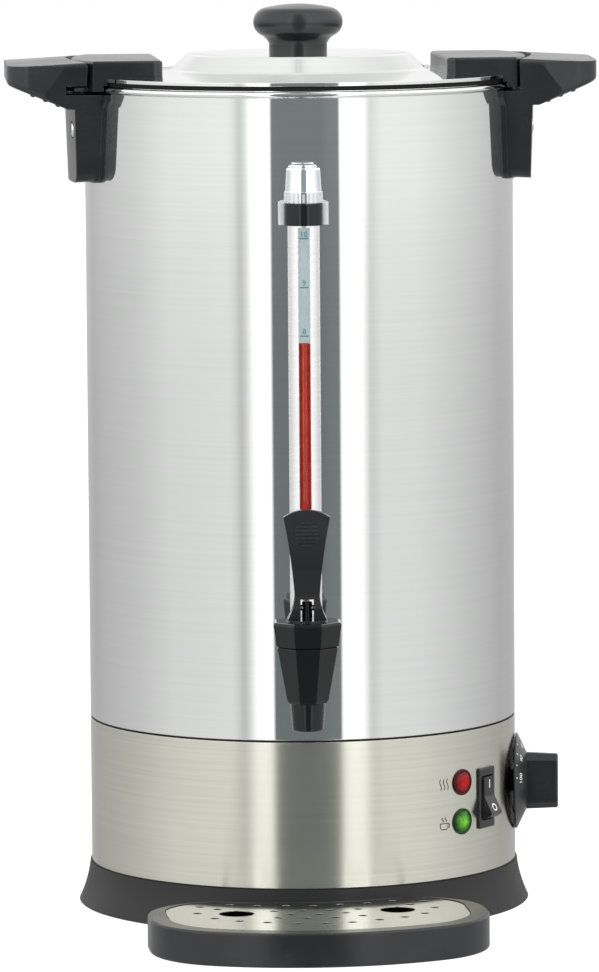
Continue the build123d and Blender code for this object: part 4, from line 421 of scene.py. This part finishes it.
# The seals: one over the band, and one in the ring's corner, both near black as painted shade for
# the joints' dark gaps.
band_top = 99.1
ring_top = 22.0
seal_inset = 0.25
seal_bite = 0.05
over_seal_and_shade = [
    (wall_inside, band_top),
    (tank_radius - seal_inset, band_top),
    (tank_radius - seal_inset, tank_seam),
    (wall_inside, tank_seam),
]
corner_seal_and_shade = [
    (tank_radius - seal_bite, ring_top),
    (tank_radius + 0.7, ring_top),
    (tank_radius + 0.5, ring_top + 0.4),
    (tank_radius - seal_bite, ring_top + 0.9),
]
for seal_name, outline in (("over_seal_and_shade", over_seal_and_shade), ("corner_seal_and_shade", corner_seal_and_shade)):
    seal = turned(seal_name, outline, 240)
    seal.data.materials.append(seal_and_painted_shade)
    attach(seal, "urn")

# ==== base plate, screws and nuts ====
# Zinc-plated sheet closes the base from below, held with four cross-head screws whose
# nuts sit on the band's flange.

# Plating: crystals of the zinc, seen as small flat patches.
plating, given, gives = new_group(
    "plating", {"Crystals": 260.0, "Grain": 2500.0}, {"Cloud": "Float", "Relief": "Float"}
)
spot = put(plating, "TexCoord").outputs["Object"]
crystals = put(plating, "TexVoronoi", {"Vector": spot, "Scale": given["Crystals"]})
patch = put(plating, "SeparateColor", {"Color": crystals.outputs["Color"]})
sand = put(plating, "TexNoise", {"Vector": spot, "Scale": given["Grain"], "Detail": 2.0})
plating.links.new(patch.outputs[0], gives["Cloud"])
plating.links.new(sand.outputs["Fac"], gives["Relief"])

zinc = surface(
    "zinc",
    ((0.50, 0.51, 0.52), (0.64, 0.65, 0.65)),
    gloss=(0.26, 0.42),
    pattern=patterned(plating, Crystals=240.0),
    depth=0.00001,
    metallic=1.0,
)
screw_steel = surface(
    "screw_steel",
    ((0.48, 0.48, 0.47), (0.62, 0.62, 0.60)),
    gloss=(0.2, 0.34),
    pattern=patterned(plating, Crystals=1400.0),
    depth=0.000008,
    metallic=1.0,
    edge=0.0003,
)
dress(zinc, "base_plate")
dress(screw_steel, "base_screws", "base_nuts")

# ==== heater ====
# Cast aluminium plate brazed under the tank's floor, with the tubular element and the
# thermostat's copper bulb let into it.

# Casting: coarse skin with pits.
casting, given, gives = new_group(
    "casting", {"Skin": 500.0, "Stain": 30.0}, {"Cloud": "Float", "Relief": "Float"}
)
spot = put(casting, "TexCoord").outputs["Object"]
skin = put(casting, "TexNoise", {"Vector": spot, "Scale": given["Skin"], "Detail": 5.0})
stain = put(
    casting,
    "TexNoise",
    {"Vector": spot, "Scale": given["Stain"], "Detail": 5.0, "Distortion": 1.2},
)
casting.links.new(stain.outputs["Fac"], gives["Cloud"])
casting.links.new(skin.outputs["Fac"], gives["Relief"])

cast_aluminium = surface(
    "cast_aluminium",
    ((0.60, 0.60, 0.59), (0.74, 0.74, 0.73)),
    gloss=(0.38, 0.55),
    pattern=patterned(casting, Skin=500.0, Stain=30.0),
    depth=0.00008,
    metallic=1.0,
)
heated_tube = surface(
    "heated_tube",
    ((0.20, 0.17, 0.14), (0.36, 0.33, 0.30)),
    gloss=(0.35, 0.55),
    pattern=patterned(casting, Skin=1200.0, Stain=45.0),
    depth=0.00002,
    metallic=1.0,
)
drawn_copper = surface(
    "drawn_copper",
    ((0.56, 0.26, 0.16), (0.78, 0.42, 0.28)),
    gloss=(0.18, 0.34),
    pattern=patterned(casting, Skin=1500.0, Stain=90.0),
    depth=0.000008,
    metallic=1.0,
)
dress(cast_aluminium, "heater_plate")
dress(heated_tube, "heating_element")
dress(drawn_copper, "capillary")

# ==== pilot lamps ====
# Clear coloured lenses with a round rim and a cut crown that scatters the small lamp
# behind them. Each is pushed through the band and held by a ring nut.

lamp_angle = 46.2
lamp_heights = {"red": 72.6, "green": 51.9}
lens_rim = 6.9
lens_body = 5.6
lens_tail = -16.0
lens_glow_radius = 6.8
lens_glow = 0.10
crown_faces = 14
lens_tones = {
    "red": ((0.03, 0.0005, 0.001), (0.17, 0.001, 0.002), (0.30, 0.001, 0.003)),
    "green": ((0.003, 0.024, 0.003), (0.028, 0.13, 0.010), (0.13, 0.40, 0.03)),
}


def on_face(angle, height, radius):
    """Place on the wall whose third axis points outwards."""
    turn = math.radians(angle)
    return Matrix(
        (
            (math.cos(turn), 0, math.sin(turn), radius * math.sin(turn)),
            (math.sin(turn), 0, -math.cos(turn), -radius * math.cos(turn)),
            (0, 1, 0, height),
            (0, 0, 0, 1),
        )
    )


def lens_plastic(name, tones, middle):
    """Coloured acrylic, deeper at the rim and lit from behind at its middle."""
    material = bpy.data.materials.new(name)
    material.use_nodes = True
    tree = material.node_tree
    shader = tree.nodes["Principled BSDF"]
    shader.inputs["Specular IOR Level"].default_value = 0.22
    shader.inputs["Emission Strength"].default_value = lens_glow
    spot = put(tree, "TexCoord").outputs["Object"]
    away = put(tree, "VectorMath", {0: spot, 1: middle}, operation="DISTANCE")
    flaws = put(tree, "TexNoise", {"Vector": spot, "Scale": 420.0, "Detail": 3.0})
    reach = put(
        tree, "MapRange", {"Value": away.outputs["Value"], "From Max": lens_glow_radius * 0.001}
    )
    ripple = put(tree, "Math", {0: flaws.outputs["Fac"], 1: 0.5}, operation="SUBTRACT")
    spread = put(
        tree,
        "Math",
        {0: ripple.outputs[0], 1: 0.6, 2: reach.outputs[0]},
        operation="MULTIPLY_ADD",
    )
    tint = put(tree, "ValToRGB", {"Fac": spread.outputs[0]})
    stops = tint.color_ramp.elements
    stops.new(0.5)
    for stop, place, tone in zip(stops, (0.25, 0.6, 0.9), reversed(tones)):
        stop.position = place
        stop.color = (*tone, 1)
    shine = put(
        tree, "MapRange", {"Value": flaws.outputs["Fac"], "To Min": 0.04, "To Max": 0.16}
    )
    tree.links.new(tint.outputs["Color"], shader.inputs["Base Color"])
    tree.links.new(tint.outputs["Color"], shader.inputs["Emission Color"])
    tree.links.new(shine.outputs[0], shader.inputs["Roughness"])
    return material


for color, height in lamp_heights.items():
    place = on_face(lamp_angle, height, tank_radius)
    rim_outline = [
        (0, lens_tail),
        (lens_body, lens_tail),
        (lens_body, -0.25),
        (lens_rim, -0.25),
        *arc(lens_rim - 0.5, 0.5, 0.5, 0, 90, 6),
        *arc(lens_rim - 0.9, 0.6, 0.4, 90, 180, 5),
        (0, 0.6),
    ]
    crown_outline = [(0, 0.5), (5.7, 0.5), (5.5, 0.8), (4.3, 1.3), (2.6, 1.6), (0, 1.65)]
    middle = place.to_translation() * 0.001
    acrylic = lens_plastic(f"{color}_acrylic", lens_tones[color], middle)
    rim = turned(f"{color}_lens_rim", rim_outline, 72, place)
    crown = turned(f"{color}_lens_crown", crown_outline, crown_faces, place, crease=4)
    for piece in (rim, crown):
        piece.data.materials.append(acrylic)
        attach(piece, "urn")
        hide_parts(f"{color}_lamp")
satin_black = surface(
    "satin_black",
    ((0.0085, 0.0088, 0.0100), (0.0125, 0.0130, 0.0150)),
    gloss=(0.22, 0.30),
    pattern=patterned(moulding, Grain=1500.0, Flow=25.0),
    depth=0.00003,
    edge=0.0005,
    painted_edge_highlight=0.35,
)
dress(satin_black, "lamp_nuts")

# ==== rocker switch ====
# Black nylon housing snapped into the band and a rocker with its two marks printed in
# white: a bar for on and a ring for off.

rocker_angle = 56.8
rocker_height = 62.1
rocker_pivot = 112.0
rocker_tilt = 14.0
rocker_crown = 3.6
mark_rise = 6.3
bar_half = 2.1
bar_line = 0.7
circle_radius = 1.7
circle_line = 0.6

switch_black = surface(
    "switch_black",
    ((0.010, 0.010, 0.011), (0.016, 0.016, 0.017)),
    gloss=(0.22, 0.32),
    pattern=patterned(moulding, Grain=2200.0, Flow=60.0),
    depth=0.000015,
    edge=0.0004,
    painted_edge_highlight=0.4,
)
dress(switch_black, "switch_housing", "rocker")
white_ink = ink("white_ink", ((0.62, 0.62, 0.60), (0.80, 0.80, 0.78)))


def on_rocker(half):
    """Says where a drawing's point lies on the rocker's upper (1) or lower (-1) half."""
    place = on_face(rocker_angle, rocker_height, rocker_pivot)
    lean = Matrix.Rotation(math.radians(-rocker_tilt), 4, "X")
    slope = math.tan(math.radians(rocker_tilt))

    def lay(across, up):
        rise = half * mark_rise + up
        return place @ lean @ Vector((across, rise, rocker_crown + abs(rise) * slope + print_lift))

    return lay


marks = bmesh.new()
stroke(marks, [(0, -bar_half), (0, bar_half)], bar_line, on_rocker(1))
stroke(marks, arc(0, 0, circle_radius, 0, 360, 28), circle_line, on_rocker(-1))
rocker_marks = as_piece("rocker_marks", marks)
rocker_marks.data.materials.append(white_ink)
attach(rocker_marks, "rocker")

# ==== thermostat and its knob ====
# The thermostat is screwed behind the band. Its knob is a black moulding with a bar to
# hold and a sloping skirt with the temperatures printed round it.

knob_angle = 85.0
knob_height = 63.2
skirt_front = 114.2
skirt_radius = 25.5
cone_depth = 5.2
cone_radius = 14.7
dial_start = 152
dial_step = -33
dial_numbers = range(30, 110, 10)
number_radius = 19.6
number_height = 2.8
tick_radii = (23.0, 24.7)
tick_line = 0.35
half_tick_start = 0.4
digit_share = 0.72  # a digit's height in a font size of one

dress(satin_black, "thermostat_knob")
dress(zinc, "thermostat")
dress(screw_steel, "thermostat_screws", "thermostat_shaft")


def on_skirt(turn, middle):
    """Says where a drawing's point lies on the knob's skirt, with its top outwards."""
    place = on_face(knob_angle, knob_height, skirt_front)
    slope = cone_depth / (skirt_radius - cone_radius)

    def lay(across, up):
        radius = middle + up * math.cos(math.atan(slope))
        angle = math.radians(turn) + across / middle
        out = (skirt_radius - radius) * slope + print_lift
        return place @ Vector((radius * math.sin(angle), radius * math.cos(angle), out))

    return lay


def add_number(shape, number, height, lay):
    """Adds printed digits to a mesh, in the Blender font, laid on a surface."""
    digits = bpy.data.curves.new("digits", "FONT")
    digits.body = str(number)
    digits.size = height / digit_share
    digits.align_x = "CENTER"
    digits.align_y = "CENTER"
    digits.resolution_u = 4
    holder = bpy.data.objects.new("digits", digits)
    bpy.context.scene.collection.objects.link(holder)
    drawn = holder.evaluated_get(bpy.context.evaluated_depsgraph_get())
    flat = bpy.data.meshes.new_from_object(drawn)
    for vertex in flat.vertices:
        vertex.co = lay(vertex.co.x, vertex.co.y)
    shape.from_mesh(flat)
    bpy.data.objects.remove(holder)
    bpy.data.meshes.remove(flat)


dial = bmesh.new()
for index, number in enumerate(dial_numbers):
    turn = dial_start + index * dial_step
    add_number(dial, number, number_height, on_skirt(turn, number_radius))
    for part in (0, 0.5):
        if part == 0 or number != dial_numbers[-1]:
            lay = on_skirt(turn + part * dial_step, tick_radii[0])
            tick_start = half_tick_start if part else 0
            ends = [(0, tick_start), (0, tick_radii[1] - tick_radii[0])]
            stroke(dial, ends, tick_line, lay)
knob_print = as_piece("knob_print", dial)
knob_print.data.materials.append(white_ink)
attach(knob_print, "thermostat_knob")

# ==== power inlet ====
# Black nylon socket for a kettle lead, let into the back of the band. Three brass blades
# are moulded in it, and two screws hold its flange.

brass = surface(
    "brass",
    ((0.62, 0.46, 0.20), (0.80, 0.63, 0.32)),
    gloss=(0.16, 0.30),
    pattern=patterned(plating, Crystals=900.0),
    depth=0.000006,
    metallic=1.0,
)
dress(switch_black, "power_inlet")
dress(brass, "inlet_pins")
dress(screw_steel, "inlet_screws")

# ==== cut-out, terminal block and wiring ====
# They stand on the base plate: a brown phenolic cut-out with its red reset button, a
# pale nylon block, and silicone-covered leads.

phenolic = surface(
    "phenolic",
    ((0.050, 0.022, 0.012), (0.085, 0.040, 0.022)),
    gloss=(0.3, 0.45),
    pattern=patterned(moulding, Grain=900.0, Flow=120.0),
    depth=0.00003,
)
pale_nylon = surface(
    "pale_nylon",
    ((0.66, 0.64, 0.56), (0.76, 0.74, 0.66)),
    gloss=(0.35, 0.5),
    pattern=patterned(moulding, Grain=1500.0, Flow=40.0),
    depth=0.00002,
    Subsurface_Weight=0.1,
    Subsurface_Scale=0.001,
)
red_nylon = surface(
    "red_nylon",
    ((0.36, 0.012, 0.010), (0.48, 0.022, 0.018)),
    gloss=(0.25, 0.4),
    pattern=patterned(moulding, Grain=2000.0, Flow=150.0),
    depth=0.00001,
)
lead_sleeve = surface(
    "lead_sleeve",
    ((0.60, 0.58, 0.54), (0.74, 0.72, 0.68)),
    gloss=(0.45, 0.6),
    pattern=patterned(moulding, Grain=2500.0, Flow=200.0),
    depth=0.00002,
)
dress(phenolic, "boil_dry_cutout")
dress(red_nylon, "reset_button")
dress(pale_nylon, "terminal_block")
dress(lead_sleeve, "wiring")

# ==== drip tray ====
# A loose black moulding that stands on the table under the tap. A polished steel plate
# lies on its ledge, punched with small drain holes and two larger ones.

dress(satin_black, "drip_tray")
# Its steel is painted darker than the other polished steel, so that its reflection of the bright
# surround is dimmed: painted shade.
grate_steel_painted_dim = surface(
    "grate_steel_painted_dim",
    ((0.50, 0.505, 0.475), (0.54, 0.545, 0.515)),
    gloss=(0.08, 0.12),
    pattern=patterned(rolled_sheet, Lines=700.0, Clouds=12.0),
    depth=0.000002,
    metallic=1.0,
)
dress(grate_steel_painted_dim, "drip_grate")

# ==== tap ====
# Glossy black body and bonnet with a satin lever, a black stem, a steel spring and pin,
# and a silicone cup on the seat.

gloss_black = surface(
    "gloss_black",
    ((0.004, 0.0042, 0.0048), (0.006, 0.0064, 0.0074)),
    gloss=(0.05, 0.11),
    pattern=patterned(moulding, Grain=700.0, Flow=35.0),
    depth=0.000006,
    edge=0.0006,
    painted_edge_highlight=0.25,
    Specular_IOR_Level=0.38,
)
silicone = surface(
    "silicone",
    ((0.42, 0.42, 0.40), (0.54, 0.54, 0.52)),
    gloss=(0.35, 0.5),
    pattern=patterned(moulding, Grain=1800.0, Flow=90.0),
    depth=0.00001,
    Subsurface_Weight=0.2,
    Subsurface_Scale=0.002,
)
dress(gloss_black, "tap_body", "tap_bonnet", "tap_stem")
dress(satin_black, "tap_lever")
dress(screw_steel, "lever_pin")
dress(silicone, "seat_cup")

# The return spring, a copy of the frame's spring with a mesh of its own, sits between the stem's
# collar and the bonnet's roof.
return_spring = bpy.data.objects.new("return_spring", nodes["tap_spring"].data.copy())
bpy.context.scene.collection.objects.link(return_spring)
return_spring.data.materials.clear()
return_spring.data.materials.append(screw_steel)
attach(return_spring, "urn")
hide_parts("tap_spring")
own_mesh(return_spring)

# ==== sight gauge ====
# Chromed tee and cap, a brushed saddle and a black strap hold a steel guard with a long
# window. The glass tube in it has the litre marks in blue and a red liquid at the level,
# and a pale strip lies behind it.

gauge_back = -123.0
glass_radius = 4.0
glass_bore = 2.9
glass_foot = 147.0
level = 307.0
meniscus = 0.9
scale_marks = {10: 361.0, 9: 335.9, 8: 311.0}
window_foot = 179.0
window_top = 366.8
mark_half = 2.3
mark_line = 0.55
mark_digits = 2.9

chrome = surface(
    "chrome",
    ((0.82, 0.83, 0.84), (0.88, 0.89, 0.90)),
    gloss=(0.02, 0.06),
    pattern=patterned(moulding, Grain=300.0, Flow=60.0),
    depth=0.000002,
    metallic=1.0,
    edge=0.0004,
)
dress(chrome, "gauge_tee", "gauge_cap")
guard_steel = surface(
    "guard_steel",
    ((0.90, 0.90, 0.90), (0.94, 0.94, 0.935)),
    gloss=(0.24, 0.32),
    pattern=patterned(rolled_sheet, Lines=500.0, Clouds=20.0),
    depth=0.000002,
    metallic=1.0,
)
clamp_steel = surface(
    "clamp_steel",
    ((0.95, 0.95, 0.95), (0.98, 0.98, 0.975)),
    gloss=(0.46, 0.54),
    pattern=patterned(rolled_sheet, Lines=500.0, Clouds=20.0),
    depth=0.000002,
    metallic=1.0,
)
dress(guard_steel, "gauge_guard")
dress(clamp_steel, "gauge_clamp")
dress(gloss_black, "clamp_strap")
dress(silicone, "tee_washers", "gauge_seal")
dress(brass, "tee_nut")
dress(screw_steel, "clamp_screws")

clear_glass = surface(
    "clear_glass",
    ((0.93, 0.965, 0.96), (0.97, 0.99, 0.985)),
    gloss=(0.0, 0.03),
    pattern=patterned(rolled_sheet, Lines=60.0, Clouds=40.0),
    depth=0.000002,
    edge=0.0002,
    Transmission_Weight=1.0,
    IOR=1.47,
)
dress(clear_glass, "gauge_tube")

# The liquid glows a little: painted light that brightens its red.
red_liquid = surface(
    "red_liquid",
    ((0.92, 0.060, 0.035), (0.96, 0.080, 0.050)),
    gloss=(0.08, 0.16),
    pattern=patterned(moulding, Grain=200.0, Flow=80.0),
    depth=0.000002,
    edge=0.0001,
    Emission_Color=(0.60, 0.030, 0.015, 1.0),
    Emission_Strength=0.08,
)
column_outline = [
    (0, glass_foot),
    (glass_bore, glass_foot),
    (glass_bore, level),
    (0.75 * glass_bore, level - 0.45 * meniscus),
    (0.4 * glass_bore, level - 0.85 * meniscus),
    (0, level - meniscus),
]
gauge_axis = Matrix.Translation((0, gauge_back, 0))
red_column = turned("red_column", column_outline, 64, gauge_axis)
red_column.data.materials.append(red_liquid)
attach(red_column, "urn")
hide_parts("level_column")

# A pale curved strip behind the glass makes the level easy to read. It glows a little: painted
# light for the light that would reach it through the glass.
opal = surface(
    "opal",
    ((0.60, 0.66, 0.68), (0.70, 0.75, 0.77)),
    gloss=(0.25, 0.4),
    pattern=patterned(moulding, Grain=1200.0, Flow=50.0),
    depth=0.00001,
    Emission_Color=(0.62, 0.70, 0.73, 1.0),
    Emission_Strength=0.55,
)
strip_radii = (5.2, 5.9)
strip_ends = (window_foot - 3, window_top + 0.6)
strip_reach = (8, 172)  # degrees round the back of the glass
strip = bmesh.new()
hollow, back = (arc(0, gauge_back, radius, *strip_reach, 24) for radius in strip_radii)
section = hollow + back[::-1]
low, high = ([strip.verts.new((*point, end)) for point in section] for end in strip_ends)
for index in range(len(section)):
    following = (index + 1) % len(section)
    strip.faces.new((low[index], low[following], high[following], high[index]))
for ring in (low, high):
    for index in range(len(hollow) - 1):
        opposite = len(section) - 1 - index
        strip.faces.new((ring[index], ring[index + 1], ring[opposite - 1], ring[opposite]))
opal_strip = as_piece("opal_strip", strip)
opal_strip.data.materials.append(opal)
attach(opal_strip, "urn")

blue_ink = ink("blue_ink", ((0.02, 0.15, 0.21), (0.06, 0.25, 0.33)))


def on_glass(height):
    """Says where a drawing's point lies on the front of the glass."""
    radius = glass_radius + print_lift

    def lay(across, up):
        turn = across / radius
        return (radius * math.sin(turn), gauge_back - radius * math.cos(turn), height + up)

    return lay


scale = bmesh.new()
for number, height in scale_marks.items():
    lay = on_glass(height)
    steps = [mark_half * (2 * step / 8 - 1) for step in range(9)]
    stroke(scale, [(across, 0) for across in steps], mark_line, lay)
    add_number(scale, number, mark_digits, on_glass(height + 0.75 * mark_digits))
gauge_scale = as_piece("gauge_scale", scale)
gauge_scale.data.materials.append(blue_ink)
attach(gauge_scale, "urn")

# ==== handles ====
# Two black mouldings with a backing plate each, clamped on the wall by domed chrome
# screws and nuts inside the tank.

dress(satin_black, "handle_left", "handle_right", "backing_left", "backing_right")
dress(chrome, "handle_screws")
dress(screw_steel, "handle_nuts")

# ==== lid ====
# Pressed and polished pan with a black seal ring, two black lugs that lock under the
# handles' hooks, and a turned black knob screwed on from below. The seal ring's near-black also
# paints the shade in the gap under the lid's edge.

dress(polished_steel, "lid_pan")
dress(seal_and_painted_shade, "lid_seal")
dress(satin_black, "lug_left", "lug_right", "lid_knob")
dress(screw_steel, "lug_screws", "knob_washer", "knob_screw")

# ==== studio ====
# A white sweep on the floor and a pale surround. Two tall lit panels stand in front, on
# both sides of the dark gap where the camera is.

gap_grey = 0.3  # a surround darker than this belongs to the gap
gap_tint = 1.1  # the gap is a little green
surround_strength = 2.0
floor_half = 6.0
floor_tone = (0.86, 0.86, 0.86, 1)
floor_glow = 1.25
floor_glow_share = 0.72

scene = bpy.context.scene
scene.view_settings.view_transform = "Standard"

world = bpy.data.worlds.new("studio")
scene.world = world
world.use_nodes = True
sky = world.node_tree
sky.nodes.clear()
ray = put(sky, "SeparateXYZ", {0: put(sky, "TexCoord").outputs["Generated"]})
to_front = put(sky, "Math", {0: ray.outputs["Y"], 1: -1.0}, operation="MULTIPLY")
bearing = put(sky, "Math", {0: ray.outputs["X"], 1: to_front.outputs[0]}, operation="ARCTAN2")
round_about = put(
    sky,
    "MapRange",
    {"Value": bearing.outputs[0], "From Min": -math.pi, "From Max": math.pi},
)
panels = put(sky, "ValToRGB", {"Fac": round_about.outputs[0]})
# Bearing from the front in degrees, and the grey of the surround there.
surround = (
    (-180, 0.58),
    (-150, 0.52),
    (-134, 0.60),
    (-100, 0.73),
    (-76, 0.89),
    (-40, 0.96),
    (-36, 0.86),
    (-33, 0.66),
    (-30, 0.86),
    (-26, 1.40),
    (-16.5, 1.45),
    (-15.9, 0.22),
    (-9, 0.21),
    (10, 0.21),
    (15, 0.24),
    (19.8, 0.25),
    (20.4, 1.40),
    (32, 1.45),
    (37, 0.80),
    (44, 0.96),
    (66, 0.93),
    (92, 0.78),
    (134, 0.55),
    (156, 0.54),
    (180, 0.58),
)
stops = panels.color_ramp
while len(stops.elements) < len(surround):
    stops.elements.new(0.5)
for stop, (degrees, grey) in zip(stops.elements, surround):
    stop.position = (degrees + 180) / 360
    cool = gap_tint if grey < gap_grey else 1.0
    stop.color = (grey / cool**0.5, grey * cool**0.5, grey * cool**0.5, 1)
# The surround grows brighter from the floor to eye level, and duller towards the roof.
lowest, highest = -0.2, 1.0
climb = put(
    sky, "MapRange", {"Value": ray.outputs["Z"], "From Min": lowest, "From Max": highest}
)
heights = put(sky, "ValToRGB", {"Fac": climb.outputs[0]})
rises = (
    (lowest, 0.45),
    (-0.14, 0.46),
    (-0.1, 0.49),
    (-0.07, 0.54),
    (0.0, 0.55),
    (0.05, 0.80),
    (0.3, 0.95),
    (highest, 0.78),
)
while len(heights.color_ramp.elements) < len(rises):
    heights.color_ramp.elements.new(0.5)
for stop, (rise, grey) in zip(heights.color_ramp.elements, rises):
    stop.position = (rise - lowest) / (highest - lowest)
    stop.color = (grey, grey, grey, 1)
lit = put(
    sky,
    "VectorMath",
    {0: panels.outputs["Color"], 1: heights.outputs["Color"]},
    operation="MULTIPLY",
)
surround_light = put(
    sky, "Background", {"Color": lit.outputs[0], "Strength": surround_strength}
)
paper = put(sky, "Background", {"Color": (1, 1, 1, 1)})
seen = put(sky, "LightPath")
choose = put(
    sky,
    "MixShader",
    {0: seen.outputs["Is Camera Ray"], 1: surround_light.outputs[0], 2: paper.outputs[0]},
)
put(sky, "OutputWorld", {"Surface": choose.outputs[0]})

sweep = bpy.data.meshes.new("floor")
corners = [(x * floor_half, y * floor_half, 0) for x, y in ((-1, -1), (1, -1), (1, 1), (-1, 1))]
sweep.from_pydata(corners, [], [(0, 1, 2, 3)])
floor = bpy.data.objects.new("floor", sweep)
scene.collection.objects.link(floor)
floor_paint = bpy.data.materials.new("floor_paint")
floor_paint.use_nodes = True
tree = floor_paint.node_tree
tree.nodes.clear()
matt = put(tree, "BsdfDiffuse", {"Color": floor_tone})
glow = put(tree, "Emission", {"Strength": floor_glow})
white = put(tree, "MixShader", {0: floor_glow_share, 1: matt.outputs[0], 2: glow.outputs[0]})
clear = put(tree, "BsdfTransparent")
path = put(tree, "LightPath")
mirrored = put(
    tree,
    "MixShader",
    {0: path.outputs["Is Glossy Ray"], 1: white.outputs[0], 2: clear.outputs[0]},
)
put(tree, "OutputMaterial", {"Surface": mirrored.outputs[0]})
sweep.materials.append(floor_paint)

# Two soft lamps from the front and one from above shape the black mouldings. All aim at
# the middle of the urn.
aimed_at = Vector((0, 0, 0.25))
for lamp_name, stand, size, watts in (
    ("key_panel", (-1.6, -1.9, 1.7), 1.4, 20),
    ("fill_panel", (1.7, -1.7, 1.5), 1.4, 16),
    ("top_panel", (0, 0.2, 2.4), 1.8, 22),
):
    light_data = bpy.data.lights.new(lamp_name, "AREA")
    light_data.size = size
    light_data.energy = watts
    light = bpy.data.objects.new(lamp_name, light_data)
    light.location = stand
    aim = aimed_at - Vector(stand)
    light.rotation_euler = aim.to_track_quat("-Z", "Y").to_euler()
    light.visible_glossy = False
    light.visible_camera = False
    scene.collection.objects.link(light)

# Camera: a long lens, a little over the lid's height and almost straight in front.
camera_data = bpy.data.cameras.new("camera")
camera_data.sensor_width = 36
camera_data.lens = 253.46
camera = bpy.data.objects.new("camera", camera_data)
scene.collection.objects.link(camera)
camera_stand = Vector((0, -3.616, 0.6019))
camera_bearing = -1.0  # these four are in degrees
camera_swing = 0.014
camera_dip = 6.019
camera_lean = -0.405
bearing_turn = Matrix.Rotation(math.radians(camera_bearing), 4, "Z")
yaw = Matrix.Rotation(math.radians(camera_swing), 4, "Z")
pitch = Matrix.Rotation(math.radians(90 - camera_dip), 4, "X")
roll = Matrix.Rotation(math.radians(camera_lean), 4, "Z")
camera.matrix_world = bearing_turn @ Matrix.Translation(camera_stand) @ yaw @ pitch @ roll
scene.camera = camera

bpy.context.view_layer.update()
